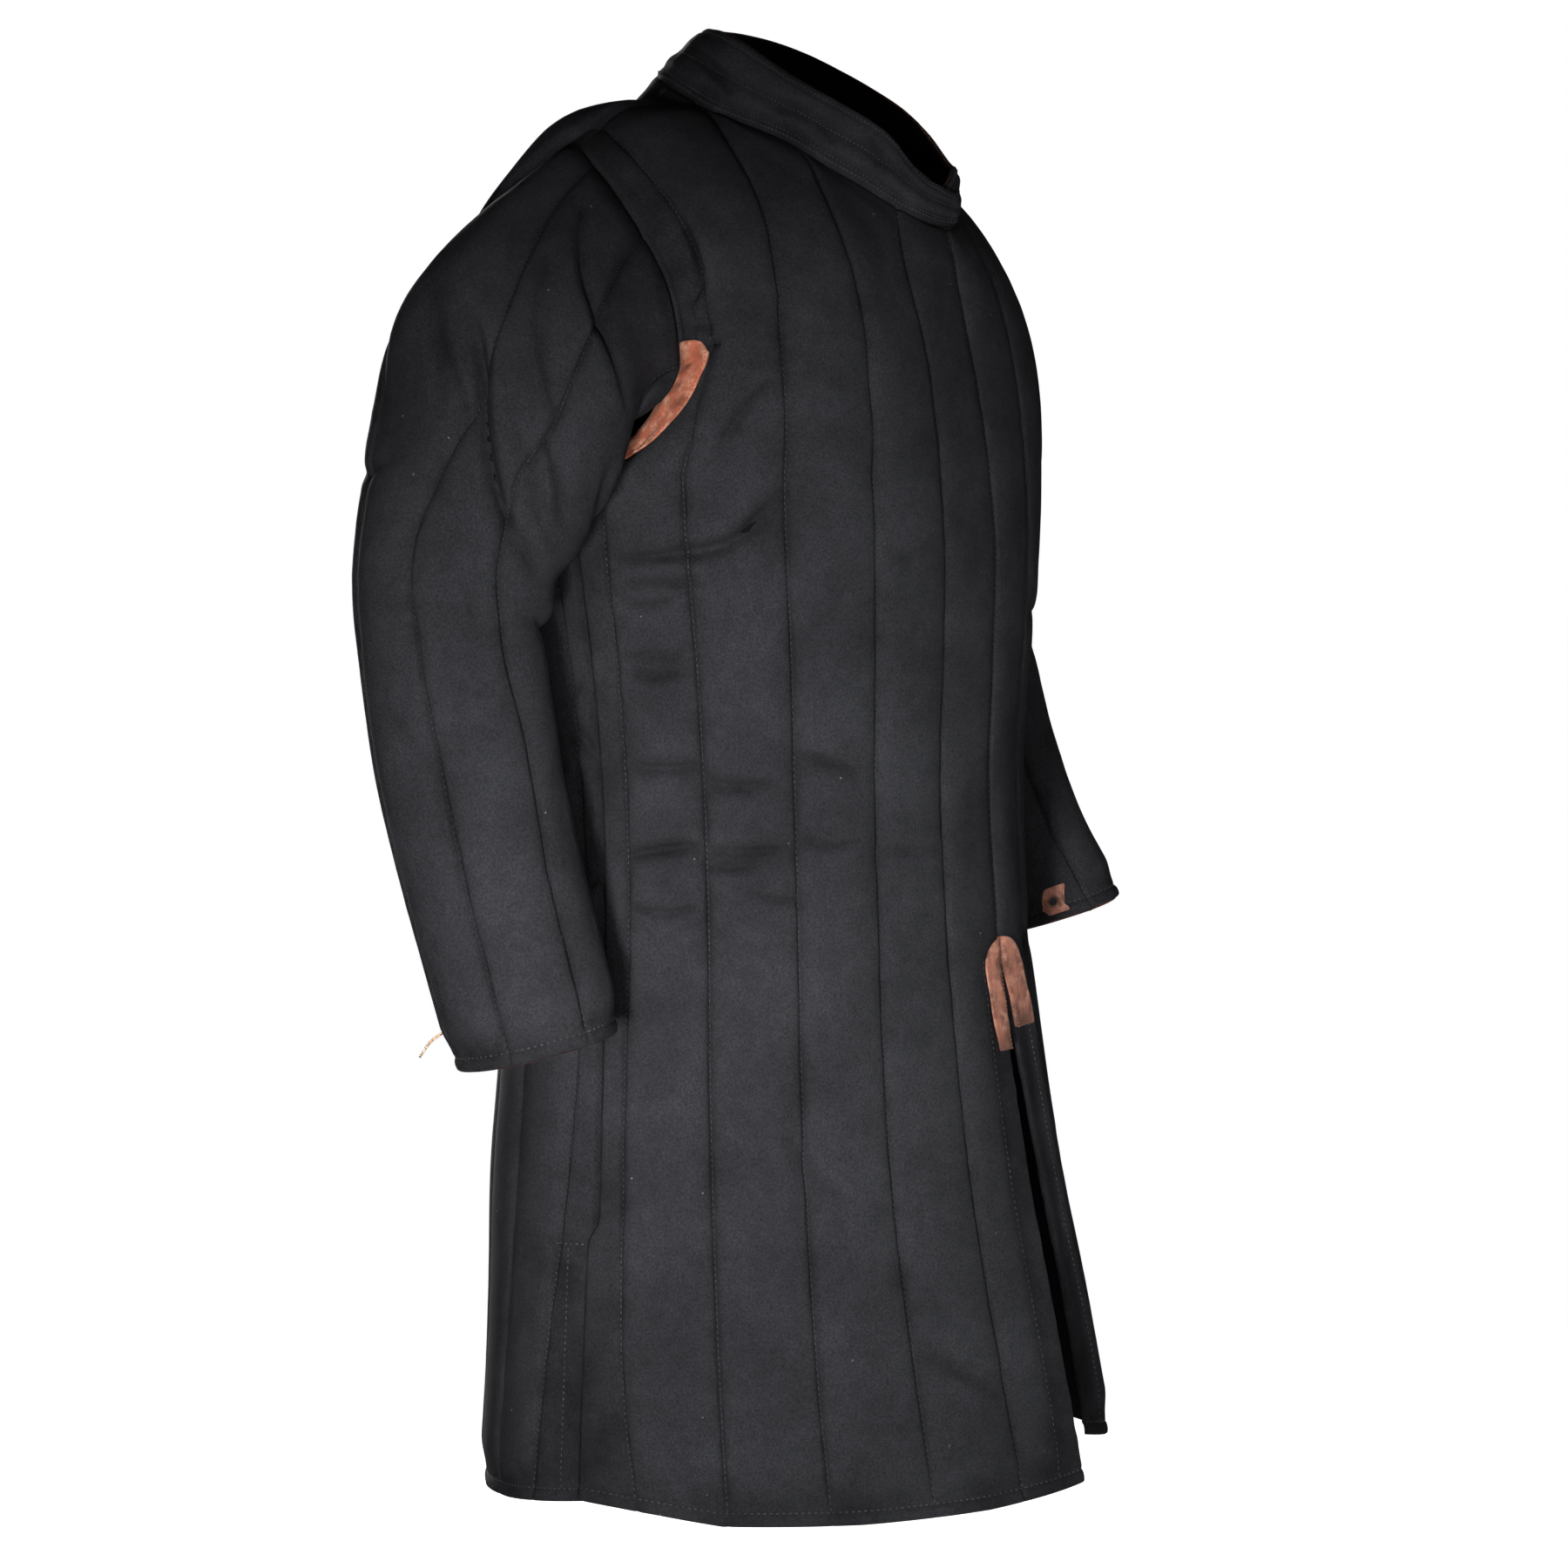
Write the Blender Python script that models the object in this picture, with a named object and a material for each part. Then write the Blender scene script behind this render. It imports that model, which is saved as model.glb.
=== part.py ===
"""Quilted gambeson, filled out as if worn, in padded cotton with suede reinforcements.

Metres, +Z up. The front faces -Y, the wearer's right side is -X. The origin lies at the base of the
neck, between the shoulder seams, where the wearer carries the garment.
"""

import math

import bmesh
import bpy
import numpy as np

# ---------------------------------------------------------------- driving dimensions
WALL = 0.0030  # padded cloth pressed flat along a stitch line
LOFT = 0.0055  # height of a quilted ridge above its stitch lines, on the outside only
COLLAR_LOFT = 0.0016
SEAM_PULL = 0.0003  # each panel stops this far short of a seam it shares with another
JOIN_GAP = 0.0004  # from a panel's neck or armhole edge to the collar or sleeve sewn there
HEM_BAND = 0.009  # hem edge to hem stitching
HEM_Z = -0.900  # the hem before its own curve
HEM_CURVE_TOP_Z = -0.600  # below this height the rows follow the hem's curve
UNDERARM_Z = -0.210
SLIT_TOP_Z = -0.543
VENT_TOP_Z = -0.715
VENT_LAP = 0.007  # how far the front lies over the back at a side vent
VENT_STEP = 0.0034  # how far each edge stands off the other's level there
VENT_EASE = 0.040  # height over which the edges part, and again over which they lap
CHANNEL_SEGMENTS = 4
INNER_STEP = 2  # outer segments to each segment of the plain inside

NECK_CENTRE_Y = -0.0190
NECK_HALF_WIDTH = 0.0875
NECK_HALF_DEPTH = 0.1080
RIM_CENTRE_Y = -0.0390
RIM_HALF_WIDTH = 0.071
RIM_HALF_DEPTH = 0.0880

LEATHER_INSET = 0.0012  # from a panel's edge to the suede laid along it
LEATHER = 0.0018  # thickness of the suede
LEATHER_LIFT = 0.0009  # from a panel's outer points to the suede laid on them
TONGUE_LIFT = 0.0014
LACE_WIDTH = 0.0034
LACE_THICKNESS = 0.0022
PATCH_LENGTH = 0.022
PATCH_WIDTH = 0.018
PATCH_FROM_CUFF = 0.0145
PATCH_COLUMN = 10  # sleeve column the eyelet patch is centred on, on the side toward the body
EYELET_RADIUS = 0.0027
EYELET_SIDES = 16
# The right cuff's thong from its eyelet round the back of the cuff to its free end.
LACE_PATH = (
    (-0.2540, 0.0520, -0.5600),
    (-0.2570, 0.0760, -0.5620),
    (-0.2640, 0.0960, -0.5660),
    (-0.2680, 0.1110, -0.5750),
    (-0.2690, 0.1240, -0.5840),
    (-0.2680, 0.1330, -0.5950),
)

# Sections below the underarm. half_width at the side seam, front and back depth from the body's
# axis, how far back the side seam lies, and the power of each curve (2 is an ellipse, more is boxier).
# Columns: z, half_width, front, back, seam_y, front_power, back_power.
SECTIONS = (
    (-0.930, 0.246, 0.241, 0.190, 0.022, 1.75, 2.0),
    (-0.800, 0.244, 0.213, 0.183, 0.017, 1.66, 2.0),
    (-0.700, 0.241, 0.191, 0.178, 0.014, 1.62, 2.05),
    (-0.600, 0.234, 0.174, 0.168, 0.015, 1.68, 2.1),
    (-0.500, 0.226, 0.163, 0.155, 0.017, 1.80, 2.2),
    (-0.420, 0.224, 0.158, 0.148, 0.020, 1.88, 2.3),
    (-0.330, 0.228, 0.161, 0.145, 0.026, 2.0, 2.3),
    (-0.250, 0.232, 0.162, 0.147, 0.034, 2.2, 2.4),
    (-0.210, 0.233, 0.158, 0.149, 0.036, 2.4, 2.5),
)

# Where the stitch lines run: share of the way from the centre line to the side seam, at each height.
# Columns: z, line1, line2, line3, line4, line5.
FRONT_LINES = (
    (-0.930, 0.165, 0.355, 0.550, 0.735, 0.885),
    (-0.800, 0.185, 0.375, 0.570, 0.755, 0.935),
    (-0.700, 0.190, 0.385, 0.575, 0.765, 0.945),
    (-0.450, 0.190, 0.382, 0.577, 0.772, 0.940),
    (-0.210, 0.196, 0.390, 0.582, 0.775, 0.935),
)
BACK_LINES = (
    (-0.930, 0.170, 0.345, 0.520, 0.690, 0.840),
    (-0.800, 0.180, 0.360, 0.545, 0.725, 0.875),
    (-0.700, 0.185, 0.370, 0.560, 0.750, 0.915),
    (-0.600, 0.190, 0.380, 0.570, 0.765, 0.940),
    (-0.210, 0.195, 0.390, 0.585, 0.775, 0.940),
)

# Height of the hem, by share of the way from the centre line to the side seam.
# Columns: share, front, back.
HEM = (
    (0.00, -0.889, -0.911),
    (0.25, -0.896, -0.910),
    (0.50, -0.899, -0.906),
    (0.75, -0.899, -0.898),
    (1.00, -0.886, -0.888),
)

# How far each corner of the front slit stands away from the centre line at the hem.
# Columns: side, apart, forward, lift, ease.
FLAPS = {"right": (0.046, 0.022, 0.003, 1.25), "left": (0.067, -0.026, 0.008, 0.95)}

COLLAR_LAP_RISE = 0.0008  # how far the lapped ends stand above the neck edge of the other side
COLLAR_STEP = 0.0040  # how far the right end stands outside the neck edge, over the left end
COLLAR_WALL = 0.0030
# Columns: share, loft.
COLLAR_ROWS = (
    (0.0, 0.0),
    (0.07, 0.5),
    (0.15, 0.0),
    (0.33, 1.0),
    (0.52, 0.0),
    (0.74, 1.0),
    (0.93, 0.5),
    (1.0, 0.0),
)

# Height of the neck edge and of the collar's rim, by angle from centre front.
# Columns: angle, edge, rim_right, rim_left.
NECK = (
    (0, -0.0430, -0.0190, 0.0000),
    (12, -0.0415, -0.0140, 0.0000),
    (22, -0.0365, -0.0080, 0.0010),
    (30, -0.0310, 0.0020, 0.0020),
    (38, -0.0240, 0.0150, 0.0050),
    (48, -0.0140, 0.0260, 0.0130),
    (60, -0.0025, 0.0365, 0.0270),
    (75, 0.0140, 0.0490, 0.0440),
    (90, 0.0250, 0.0620, 0.0575),
    (105, 0.0345, 0.0760, 0.0705),
    (123, 0.0490, 0.0890, 0.0840),
    (141, 0.0600, 0.0945, 0.0930),
    (158, 0.0650, 0.0970, 0.0970),
    (180, 0.0665, 0.0980, 0.0980),
)
SHOULDER_NECK_ANGLE = 112  # where the shoulder seam meets the neck

SHOULDER_MIDDLE = (-0.132, 0.050, 0.0350)

ARMHOLE_CENTRE = (0.036, -0.095)  # y and z of the middle of the armhole

# Right armhole. The seam runs from the front end of the armpit opening over the shoulder to its
# back end; below those ends the panels have one free edge and the sleeve another.
# Columns: x, y, z.
ARMHOLE_FRONT = (
    (-0.2080, -0.0330, -0.138),
    (-0.2070, -0.0300, -0.110),
    (-0.2060, -0.0230, -0.085),
    (-0.2030, -0.0080, -0.060),
    (-0.1975, 0.0140, -0.034),
    (-0.1890, 0.0380, -0.010),
    (-0.1780, 0.0600, 0.008),
)
ARMHOLE_BACK = (
    (-0.1780, 0.0600, 0.008),
    (-0.1860, 0.0820, -0.012),
    (-0.1940, 0.0970, -0.040),
    (-0.2010, 0.1060, -0.080),
    (-0.2050, 0.1070, -0.110),
    (-0.2080, 0.1040, -0.136),
)
PANEL_FREE_FRONT = (
    (-0.2080, -0.0330, -0.138),
    (-0.2140, -0.0170, -0.168),
    (-0.2250, 0.0080, -0.196),
    (-0.2340, 0.0360, -0.210),
)
PANEL_FREE_BACK = (
    (-0.2080, 0.1040, -0.136),
    (-0.2140, 0.0930, -0.168),
    (-0.2250, 0.0680, -0.196),
    (-0.2340, 0.0360, -0.210),
)
SLEEVE_FREE = (
    (-0.2080, -0.0330, -0.138),
    (-0.2215, -0.0310, -0.155),
    (-0.2310, -0.0100, -0.173),
    (-0.2320, 0.0300, -0.180),
    (-0.2270, 0.0700, -0.173),
    (-0.2170, 0.0940, -0.155),
    (-0.2080, 0.1040, -0.136),
)
ARMHOLE_LINES = (0.0, 0.235, 0.465, 0.695, 0.912, 0.958, 1.0)  # shares of the lines beside the armhole
ARMHOLE_PRESS = 0.8  # share of its height that the padding loses beside the armhole
HELD_FROM = 2.75  # lines from the centre to where the panel starts to draw in round the armhole
SLEEVE_HEAD_STEPS_BACK = 7  # columns from the shoulder point down the back of the armhole

# Sleeve stations down the arm, for the right side mirrored to -X. y_right and y_left differ because
# the left arm is bent a little further forward.
# Columns: x, y_right, y_left, z_right, z_left, half_depth, half_width.
STATIONS = (
    (0.294, 0.057, 0.051, -0.186, -0.182, 0.087, 0.053),
    (0.311, 0.064, 0.047, -0.232, -0.226, 0.077, 0.052),
    (0.322, 0.071, 0.040, -0.278, -0.270, 0.066, 0.052),
    (0.328, 0.069, 0.030, -0.325, -0.316, 0.059, 0.051),
    (0.330, 0.059, 0.014, -0.388, -0.375, 0.058, 0.050),
    (0.327, 0.045, -0.005, -0.452, -0.434, 0.057, 0.049),
    (0.319, 0.030, -0.034, -0.520, -0.495, 0.056, 0.048),
    (0.312, 0.017, -0.069, -0.578, -0.547, 0.055, 0.048),
)
SLEEVE_CHANNELS = 6
SLEEVE_LINE_ANGLE = 8  # degrees forward of straight outward, at the cuff
CAP_FULLNESS = 0.032  # how far the sleeve's head swells at the back of the shoulder
CAP_FULL_WAY = (-0.45, 0.85, 0.00)
CAP_FULL_PAST_LINE = 2.6  # columns from the first stitch line back to the middle of the swelling
CAP_FULL_COLUMNS = 3.2
CAP_FULL_EASE = 1.25  # more than 1 brings the fullest point of the swelling down the arm
SLEEVE_CAP_ROWS = 8
SLEEVE_ARM_ROWS = 16

# Which way the cloth runs where each stitch line reaches the neck or the shoulder seam:
# toward the centre, toward the back and up, and how strongly the line bows out on its way there.
# Columns: inward, backward, up, bow.
FRONT_CROWN = (
    (0.00, 0.10, 0.99, 1.00),
    (0.15, 0.40, 0.90, 1.10),
    (0.30, 0.72, 0.62, 1.20),
    (0.35, 0.85, 0.40, 1.30),
    (0.20, 0.93, 0.30, 1.30),
    (0.10, 0.96, 0.25, 1.20),
    (0.05, 0.97, 0.22, 1.20),
)
BACK_CROWN = (
    (0.00, -0.45, 0.90, 1.00),
    (0.05, -0.50, 0.85, 1.00),
    (0.15, -0.75, 0.60, 1.20),
    (0.25, -0.97, 0.00, 1.60),
    (0.10, -0.97, -0.25, 1.80),
    (0.00, -0.97, -0.25, 1.70),
    (-0.05, -0.97, -0.25, 1.60),
)
NECK_SHARES_FRONT = (0.0, 0.24, 0.60, 1.0)  # where lines 0 to 3 meet the neck
NECK_SHARES_BACK = (0.0, 0.34, 0.68, 1.0)
SHOULDER_SHARES = (0.0, 0.76, 0.93, 1.0)  # where line 3, line 4, line 5 and the edge meet the shoulder

# Compression folds across the front: height at the side, share of the panel it runs over, drop along
# it, and depth. Ridges between them stay as they are.
# Columns: z, from_share, to_share, drop, depth, half_height.
FRONT_FOLDS = (
    (-0.262, 0.30, 0.92, -0.055, 0.0030, 0.013),
    (-0.335, 0.60, 0.94, -0.004, 0.0022, 0.010),
    (-0.404, 0.28, 0.90, -0.003, 0.0030, 0.011),
    (-0.462, 0.22, 0.93, 0.006, 0.0032, 0.011),
    (-0.505, 0.45, 0.93, 0.010, 0.0022, 0.011),
)
ELBOW_FOLD_SHARE = 0.035  # half height of an elbow fold, as a share of the sleeve's length
ELBOW_FOLDS = (  # across the front of the elbow: arm share, angle centre, angle half width, depth
    (0.40, 96, 62, 0.0065),
    (0.49, 104, 48, 0.0045),
)

# Rows of the panels from the hem band to the underarm, as the lower end of each stretch and its rows.
ROW_STRETCHES = {
    "front": ((-0.720, 5), (-0.560, 4), (UNDERARM_Z, 14)),
    "back": ((-0.720, 5), (-0.560, 4), (UNDERARM_Z, 8)),
}
FREE_EDGE_ROWS = 5
SEAM_EDGE_ROWS = 8

COLORS = {
    "quilted_cotton": (0.030, 0.030, 0.032),
    "suede": (0.200, 0.095, 0.062),
    "thong_leather": (0.740, 0.560, 0.400),
}


# ---------------------------------------------------------------- numbers and curves
def smooth(t):
    """0 to 1 with no corner at either end."""
    t = np.clip(t, 0.0, 1.0)
    return t * t * (3.0 - 2.0 * t)


def unit(vectors):
    return vectors / np.maximum(np.linalg.norm(vectors, axis=-1, keepdims=True), 1e-9)


def spline(knots, values, at):
    """Values of a smooth curve through (knots, values), each with any number of components."""
    knots = np.asarray(knots, float)
    values = np.asarray(values, float)
    at = np.clip(np.asarray(at, float), knots[0], knots[-1])
    slopes = np.gradient(values, knots, axis=0)
    i = np.clip(np.searchsorted(knots, at, side="right") - 1, 0, len(knots) - 2)
    h = knots[i + 1] - knots[i]
    t = (at - knots[i]) / h
    shape = t.shape + (1,) * (values.ndim - 1)
    t, h = t.reshape(shape), h.reshape(shape)
    a = values[i] * (2 * t**3 - 3 * t**2 + 1) + slopes[i] * h * (t**3 - 2 * t**2 + t)
    return a + values[i + 1] * (3 * t**2 - 2 * t**3) + slopes[i + 1] * h * (t**3 - t**2)


def table(rows, at):
    """A table's other columns at values of its first one."""
    rows = np.asarray(rows, float)
    return spline(rows[:, 0], rows[:, 1:], at)


def dense(points, count=200):
    """Many points along the smooth curve through a few."""
    points = np.asarray(points, float)
    steps = np.linalg.norm(np.diff(points, axis=0), axis=1)
    knots = np.concatenate([[0.0], np.cumsum(steps)])
    return spline(knots, points, np.linspace(0.0, knots[-1], count))


def lengths(points):
    steps = np.linalg.norm(np.diff(points, axis=0), axis=1)
    return np.concatenate([[0.0], np.cumsum(steps)])


def at_length(points, distance):
    """Points of a polyline at distances along it."""
    along = lengths(points)
    return np.stack([np.interp(distance, along, points[:, k]) for k in range(3)], axis=-1)


def spaced(points, count):
    return at_length(points, np.linspace(0.0, lengths(points)[-1], count))


def between_lines(values, segments=CHANNEL_SEGMENTS):
    """Values given at the stitch lines, filled in at the columns between them."""
    values = np.asarray(values, float)
    at = np.linspace(0, len(values) - 1, (len(values) - 1) * segments + 1)
    return np.stack([np.interp(at, np.arange(len(values)), v) for v in values.reshape(len(values), -1).T], -1)


def channel_loft(columns, segments=CHANNEL_SEGMENTS):
    """Height of the padding across the columns: 0 on a stitch line, round over in between."""
    across = (np.arange(columns) % segments) / segments
    return np.sqrt(np.clip(1.0 - (2.0 * across - 1.0) ** 2, 0.0, 1.0))


def mirrored(points, side):
    """Right-hand points as they are, or their mirror image for the left side."""
    return np.asarray(points, float) * np.array([1.0 if side == "right" else -1.0, 1.0, 1.0])


# ---------------------------------------------------------------- the body's form
def ring_quarter(z, half, shares):
    """Points of one quarter of the section at height z, right side, at shares of its length."""
    width, front, back, seam_y, front_power, back_power = table(SECTIONS, z)
    depth = front + seam_y if half == "front" else back - seam_y
    power = front_power if half == "front" else back_power
    turn = np.linspace(0.0, math.pi / 2, 121)
    x = -width * np.sin(turn) ** (2.0 / power)
    y = depth * np.cos(turn) ** (2.0 / power)
    y = seam_y - y if half == "front" else seam_y + y
    outline = np.stack([x, y, np.full_like(x, z)], -1)
    return at_length(outline, np.asarray(shares) * lengths(outline)[-1])


def neck_point(angle, rim=False, side="right"):
    """A point of the neck edge, or of the collar's rim, at an angle from centre front (right half)."""
    edge, rim_right, rim_left = np.moveaxis(table(NECK, np.abs(angle)), -1, 0)
    turn = np.radians(angle)
    if rim:
        z = rim_right if side == "right" else rim_left
        y = RIM_CENTRE_Y - RIM_HALF_DEPTH * np.cos(turn)
        return np.stack([-RIM_HALF_WIDTH * np.sin(turn), y, z], -1)
    y = NECK_CENTRE_Y - NECK_HALF_DEPTH * np.cos(turn)
    return np.stack([-NECK_HALF_WIDTH * np.sin(turn), y, edge], -1)


def neck_normal(points):
    """Which way the neck edge and the collar's lower edge face, so that the two meet flat."""
    outward = points - np.array([0.0, NECK_CENTRE_Y, 0.0])
    outward[..., 2] = 0.0
    outward = unit(outward)
    outward[..., 2] = 0.75
    return unit(outward)


def armhole_normal(points):
    """Which way the armhole edge and the sleeve's head face, so that the two meet flat."""
    side = np.sign(points[..., :1])
    centre = points.copy()
    centre[..., 1:] = ARMHOLE_CENTRE
    away = unit(points - centre)
    away[..., :1] = 0.35 * side
    return unit(away)


def panel_rows(half):
    """Heights of the rows from the hem stitching up to the underarm, before the hem's own curve."""
    heights = [HEM_Z + HEM_BAND]
    for top, count in ROW_STRETCHES[half]:
        heights += list(np.linspace(heights[-1], top, count + 1)[1:])
    return np.array(heights)


def armhole_edge(half):
    """The free and the sewn edge of a panel's armhole, from the underarm up to the shoulder."""
    free = dense(PANEL_FREE_FRONT if half == "front" else PANEL_FREE_BACK)[::-1]
    seam = dense(ARMHOLE_FRONT) if half == "front" else dense(ARMHOLE_BACK)[::-1]
    return np.concatenate([spaced(free, FREE_EDGE_ROWS + 1), spaced(seam, SEAM_EDGE_ROWS + 1)[1:]])


def crown_edge(half):
    """The top edge of a panel: the neck from the centre out, then the shoulder seam to the armhole."""
    angles = np.linspace(0 if half == "front" else 180, SHOULDER_NECK_ANGLE, 90)
    neck = neck_point(angles)
    shares = NECK_SHARES_FRONT if half == "front" else NECK_SHARES_BACK
    neck = at_length(neck, between_lines(shares)[:, 0] * lengths(neck)[-1])
    seam = dense([neck_point(np.array(float(SHOULDER_NECK_ANGLE))), SHOULDER_MIDDLE, ARMHOLE_FRONT[-1]])
    seam = at_length(seam, between_lines(SHOULDER_SHARES)[:, 0] * lengths(seam)[-1])
    return np.concatenate([neck, seam[1:]])


def quarter(half):
    """The right half of a panel as a grid of points on its stitch-line level, rows from the hem up."""
    lines = FRONT_LINES if half == "front" else BACK_LINES
    hem = np.asarray(HEM)[:, 1 if half == "front" else 2]

    def ring(z):
        shares = between_lines(np.concatenate([[0.0], table(lines, z), [1.0]]))[:, 0]
        return ring_quarter(z, half, shares), shares

    rows = []
    heights = panel_rows(half)
    for z in np.concatenate([[heights[0] - HEM_BAND], heights]):
        points, shares = ring(z)
        if z < HEM_CURVE_TOP_Z:
            share = (HEM_CURVE_TOP_Z - z) / (HEM_CURVE_TOP_Z - HEM_Z)
            drop = (np.interp(shares, np.asarray(HEM)[:, 0], hem) - HEM_Z) * share
            for k, lower in enumerate(z + drop):
                points[k] = ring(lower)[0][k]
        rows.append(points)
    base = rows[-1]
    rise = unit(ring(UNDERARM_Z)[0] - ring(UNDERARM_Z - 0.01)[0])
    crown = np.asarray(FRONT_CROWN if half == "front" else BACK_CROWN)
    top = crown_edge(half)
    crown = between_lines(crown)
    arrive = unit(crown[:, :3])
    reach = np.linalg.norm(top - base, axis=1, keepdims=True) * crown[:, 3:]
    edge = armhole_edge(half)
    climb = lengths(edge) / lengths(edge)[-1]
    natural = lengths(base)
    held = natural[int(HELD_FROM * CHANNEL_SEGMENTS)]
    hold = smooth((natural - held) / (natural[-1] - held))[:, None]
    beside = between_lines(ARMHOLE_LINES)[:, 0]
    knots = np.array([natural / natural[-1], beside, beside, lengths(top) / lengths(top)[-1]])

    def hermite(t):
        return (
            base * (2 * t**3 - 3 * t**2 + 1)
            + rise * reach * (t**3 - 2 * t**2 + t)
            + top * (3 * t**2 - 2 * t**3)
            + arrive * reach * (t**3 - t**2)
        )

    for t, target in list(zip(climb, edge))[1:-1]:
        points = hermite(t)
        points = dense(points + hold * (target - points[-1]))
        row = at_length(points, spline((0.0, 0.34, 0.70, 1.0), knots, np.array(t)) * lengths(points)[-1])
        rows.append(row)
    rows.append(top)
    return np.array(rows)


def flap_spread(grid, side):
    """Stand the corner of a front away from the centre line below the top of the slit."""
    apart, forward, lift, ease = FLAPS[side]
    below = np.clip((SLIT_TOP_Z - grid[..., 2]) / (SLIT_TOP_Z - HEM_Z), 0.0, 1.1) ** ease
    across = np.linspace(0.0, 1.0, grid.shape[1])
    near = (1.0 - across) ** 2
    grid = grid.copy()
    grid[..., 0] -= apart * below * near
    grid[..., 1] -= forward * below * (1.0 - across) ** 3
    grid[..., 2] += lift * below * (1.0 - across) ** 3
    return grid


def vent_lap(grid, half):
    """Below the side vent's top the front's edge lies on the outside of the back's."""
    apart = smooth((VENT_TOP_Z - grid[..., 2]) / VENT_EASE)
    over = smooth((VENT_TOP_Z - VENT_EASE - grid[..., 2]) / VENT_EASE)
    near = np.zeros(grid.shape[1])
    near[-6:] = smooth(np.linspace(0.0, 1.0, 6))
    step = VENT_STEP if half == "front" else -VENT_STEP
    grid = grid.copy()
    grid[..., 0] -= step * apart * near
    if half == "front":
        grid[..., 1] += VENT_LAP * over * near
    return grid


def normals_of(grid, outward_from):
    """Unit normals of a grid of points, all facing away from a line or point inside it."""
    du = np.gradient(grid, axis=1)
    dv = np.gradient(grid, axis=0)
    n = unit(np.cross(du, dv))
    flip = np.sum(n * (grid - outward_from), axis=-1, keepdims=True) < 0
    return np.where(flip, -n, n)


def pull_back(grid, keep, edge):
    """Move one edge of a grid a little toward its neighbours."""
    grid = grid.copy()
    line, inner = {
        "first column": (np.s_[:, 0], np.s_[:, 1]),
        "last column": (np.s_[:, -1], np.s_[:, -2]),
        "top row": (np.s_[-1], np.s_[-2]),
    }[edge]
    grid[line] += unit(grid[inner] - grid[line]) * keep
    return grid


def fold_depth(grid):
    """How far the compression folds press into a front, at each of its points."""
    across = np.linspace(0.0, 1.0, grid.shape[1])[None, :]
    depth = np.zeros(grid.shape[:2])
    for z, start, end, drop, deep, half_height in FRONT_FOLDS:
        along = np.clip((across - start) / (end - start), 0.0, 1.0)
        centre = z - drop * (1.0 - along) ** 2
        reach = np.sin(math.pi * np.clip((across - start) / (end - start), 0.0, 1.0)) ** 0.5
        depth += deep * reach * np.exp(-(((grid[..., 2] - centre) / half_height) ** 2))
    return depth


def panel(half, side):
    """Outer and inner points of half a panel, right or left, columns from the centre line out."""
    grid = quarter(half)
    if half == "front":
        grid = flap_spread(grid, side)
    grid = vent_lap(grid, half)
    axis = np.zeros_like(grid)
    axis[..., 1] = 0.01
    axis[..., 2] = np.minimum(grid[..., 2], -0.12)
    n = normals_of(grid, axis)

    under = len(grid) - 1 - FREE_EDGE_ROWS - SEAM_EDGE_ROWS
    free = under + FREE_EDGE_ROWS
    n[: under + 1, -1] = unit(n[: under + 1, -1] * np.array([1.0, 0.0, 1.0]))
    closed = grid[:, 0, 2] > (SLIT_TOP_Z if half == "front" else -2.0)
    n[closed, 0] = unit(n[closed, 0] * np.array([0.0, 1.0, 1.0]))
    n[free:, -1] = armhole_normal(grid[free:, -1])
    blend = np.linspace(0.0, 1.0, FREE_EDGE_ROWS + 1)[:, None] ** 2
    edge = np.s_[under : free + 1, -1]
    n[edge] = unit(n[edge] * (1 - blend) + armhole_normal(grid[edge]) * blend)
    neck_end = 3 * CHANNEL_SEGMENTS
    n[-1, : neck_end + 1] = neck_normal(grid[-1, : neck_end + 1])
    n[-1, neck_end + 1 :] = unit(np.array([-0.22, 0.0, 0.975]))
    n[-1, neck_end] = unit(neck_normal(grid[-1, neck_end]) + n[-1, neck_end + 1])
    n[-1, -1] = unit(n[-1, -2] + n[-2, -1])

    loft = LOFT * np.tile(channel_loft(grid.shape[1]), (len(grid), 1))
    loft[:, -CHANNEL_SEGMENTS:] *= 0.4
    loft[grid[:, -1, 2] < VENT_TOP_Z, -CHANNEL_SEGMENTS:] *= 0.5
    loft[:2] = 0.0
    loft[-1] *= 0.35
    loft[-2] *= 0.8
    beside_arm = smooth((np.arange(len(grid)) - under) / 5.0)[:, None]
    narrow = np.zeros(grid.shape[1])
    narrow[4 * CHANNEL_SEGMENTS :] = 1.0
    loft *= 1.0 - ARMHOLE_PRESS * beside_arm * narrow
    if half == "front":
        loft -= np.minimum(fold_depth(grid), 0.9 * loft)

    if half == "front":
        grid = pull_back(grid, SEAM_PULL, "first column")
    grid = pull_back(grid, SEAM_PULL, "last column")
    grid = pull_back(grid, SEAM_PULL, "top row")
    outer = grid + n * loft[..., None]
    inner = (grid - n * WALL)[:, ::INNER_STEP]
    return mirrored(outer, side), mirrored(inner, side), mirrored(n, side)


# ---------------------------------------------------------------- sleeves and collar
def sleeve_head():
    """The sleeve's first ring: sewn along the armhole, free across the armpit. Right side."""
    front, back = dense(ARMHOLE_FRONT), dense(ARMHOLE_BACK)
    seam = np.concatenate([front, back[1:]])
    third = SLEEVE_CHANNELS // 3 * CHANNEL_SEGMENTS
    first_line = lengths(front)[-1] - lengths(back)[-1] / SLEEVE_HEAD_STEPS_BACK
    down_front = at_length(seam, np.linspace(first_line, 0.0, third + 1))
    free = spaced(dense(SLEEVE_FREE), third + 1)
    up_back = at_length(seam, np.linspace(lengths(seam)[-1], first_line, third + 1))
    ring = np.concatenate([down_front, free[1:], up_back[1:]])
    return ring - np.array([JOIN_GAP, 0.0, 0.0])


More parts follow.
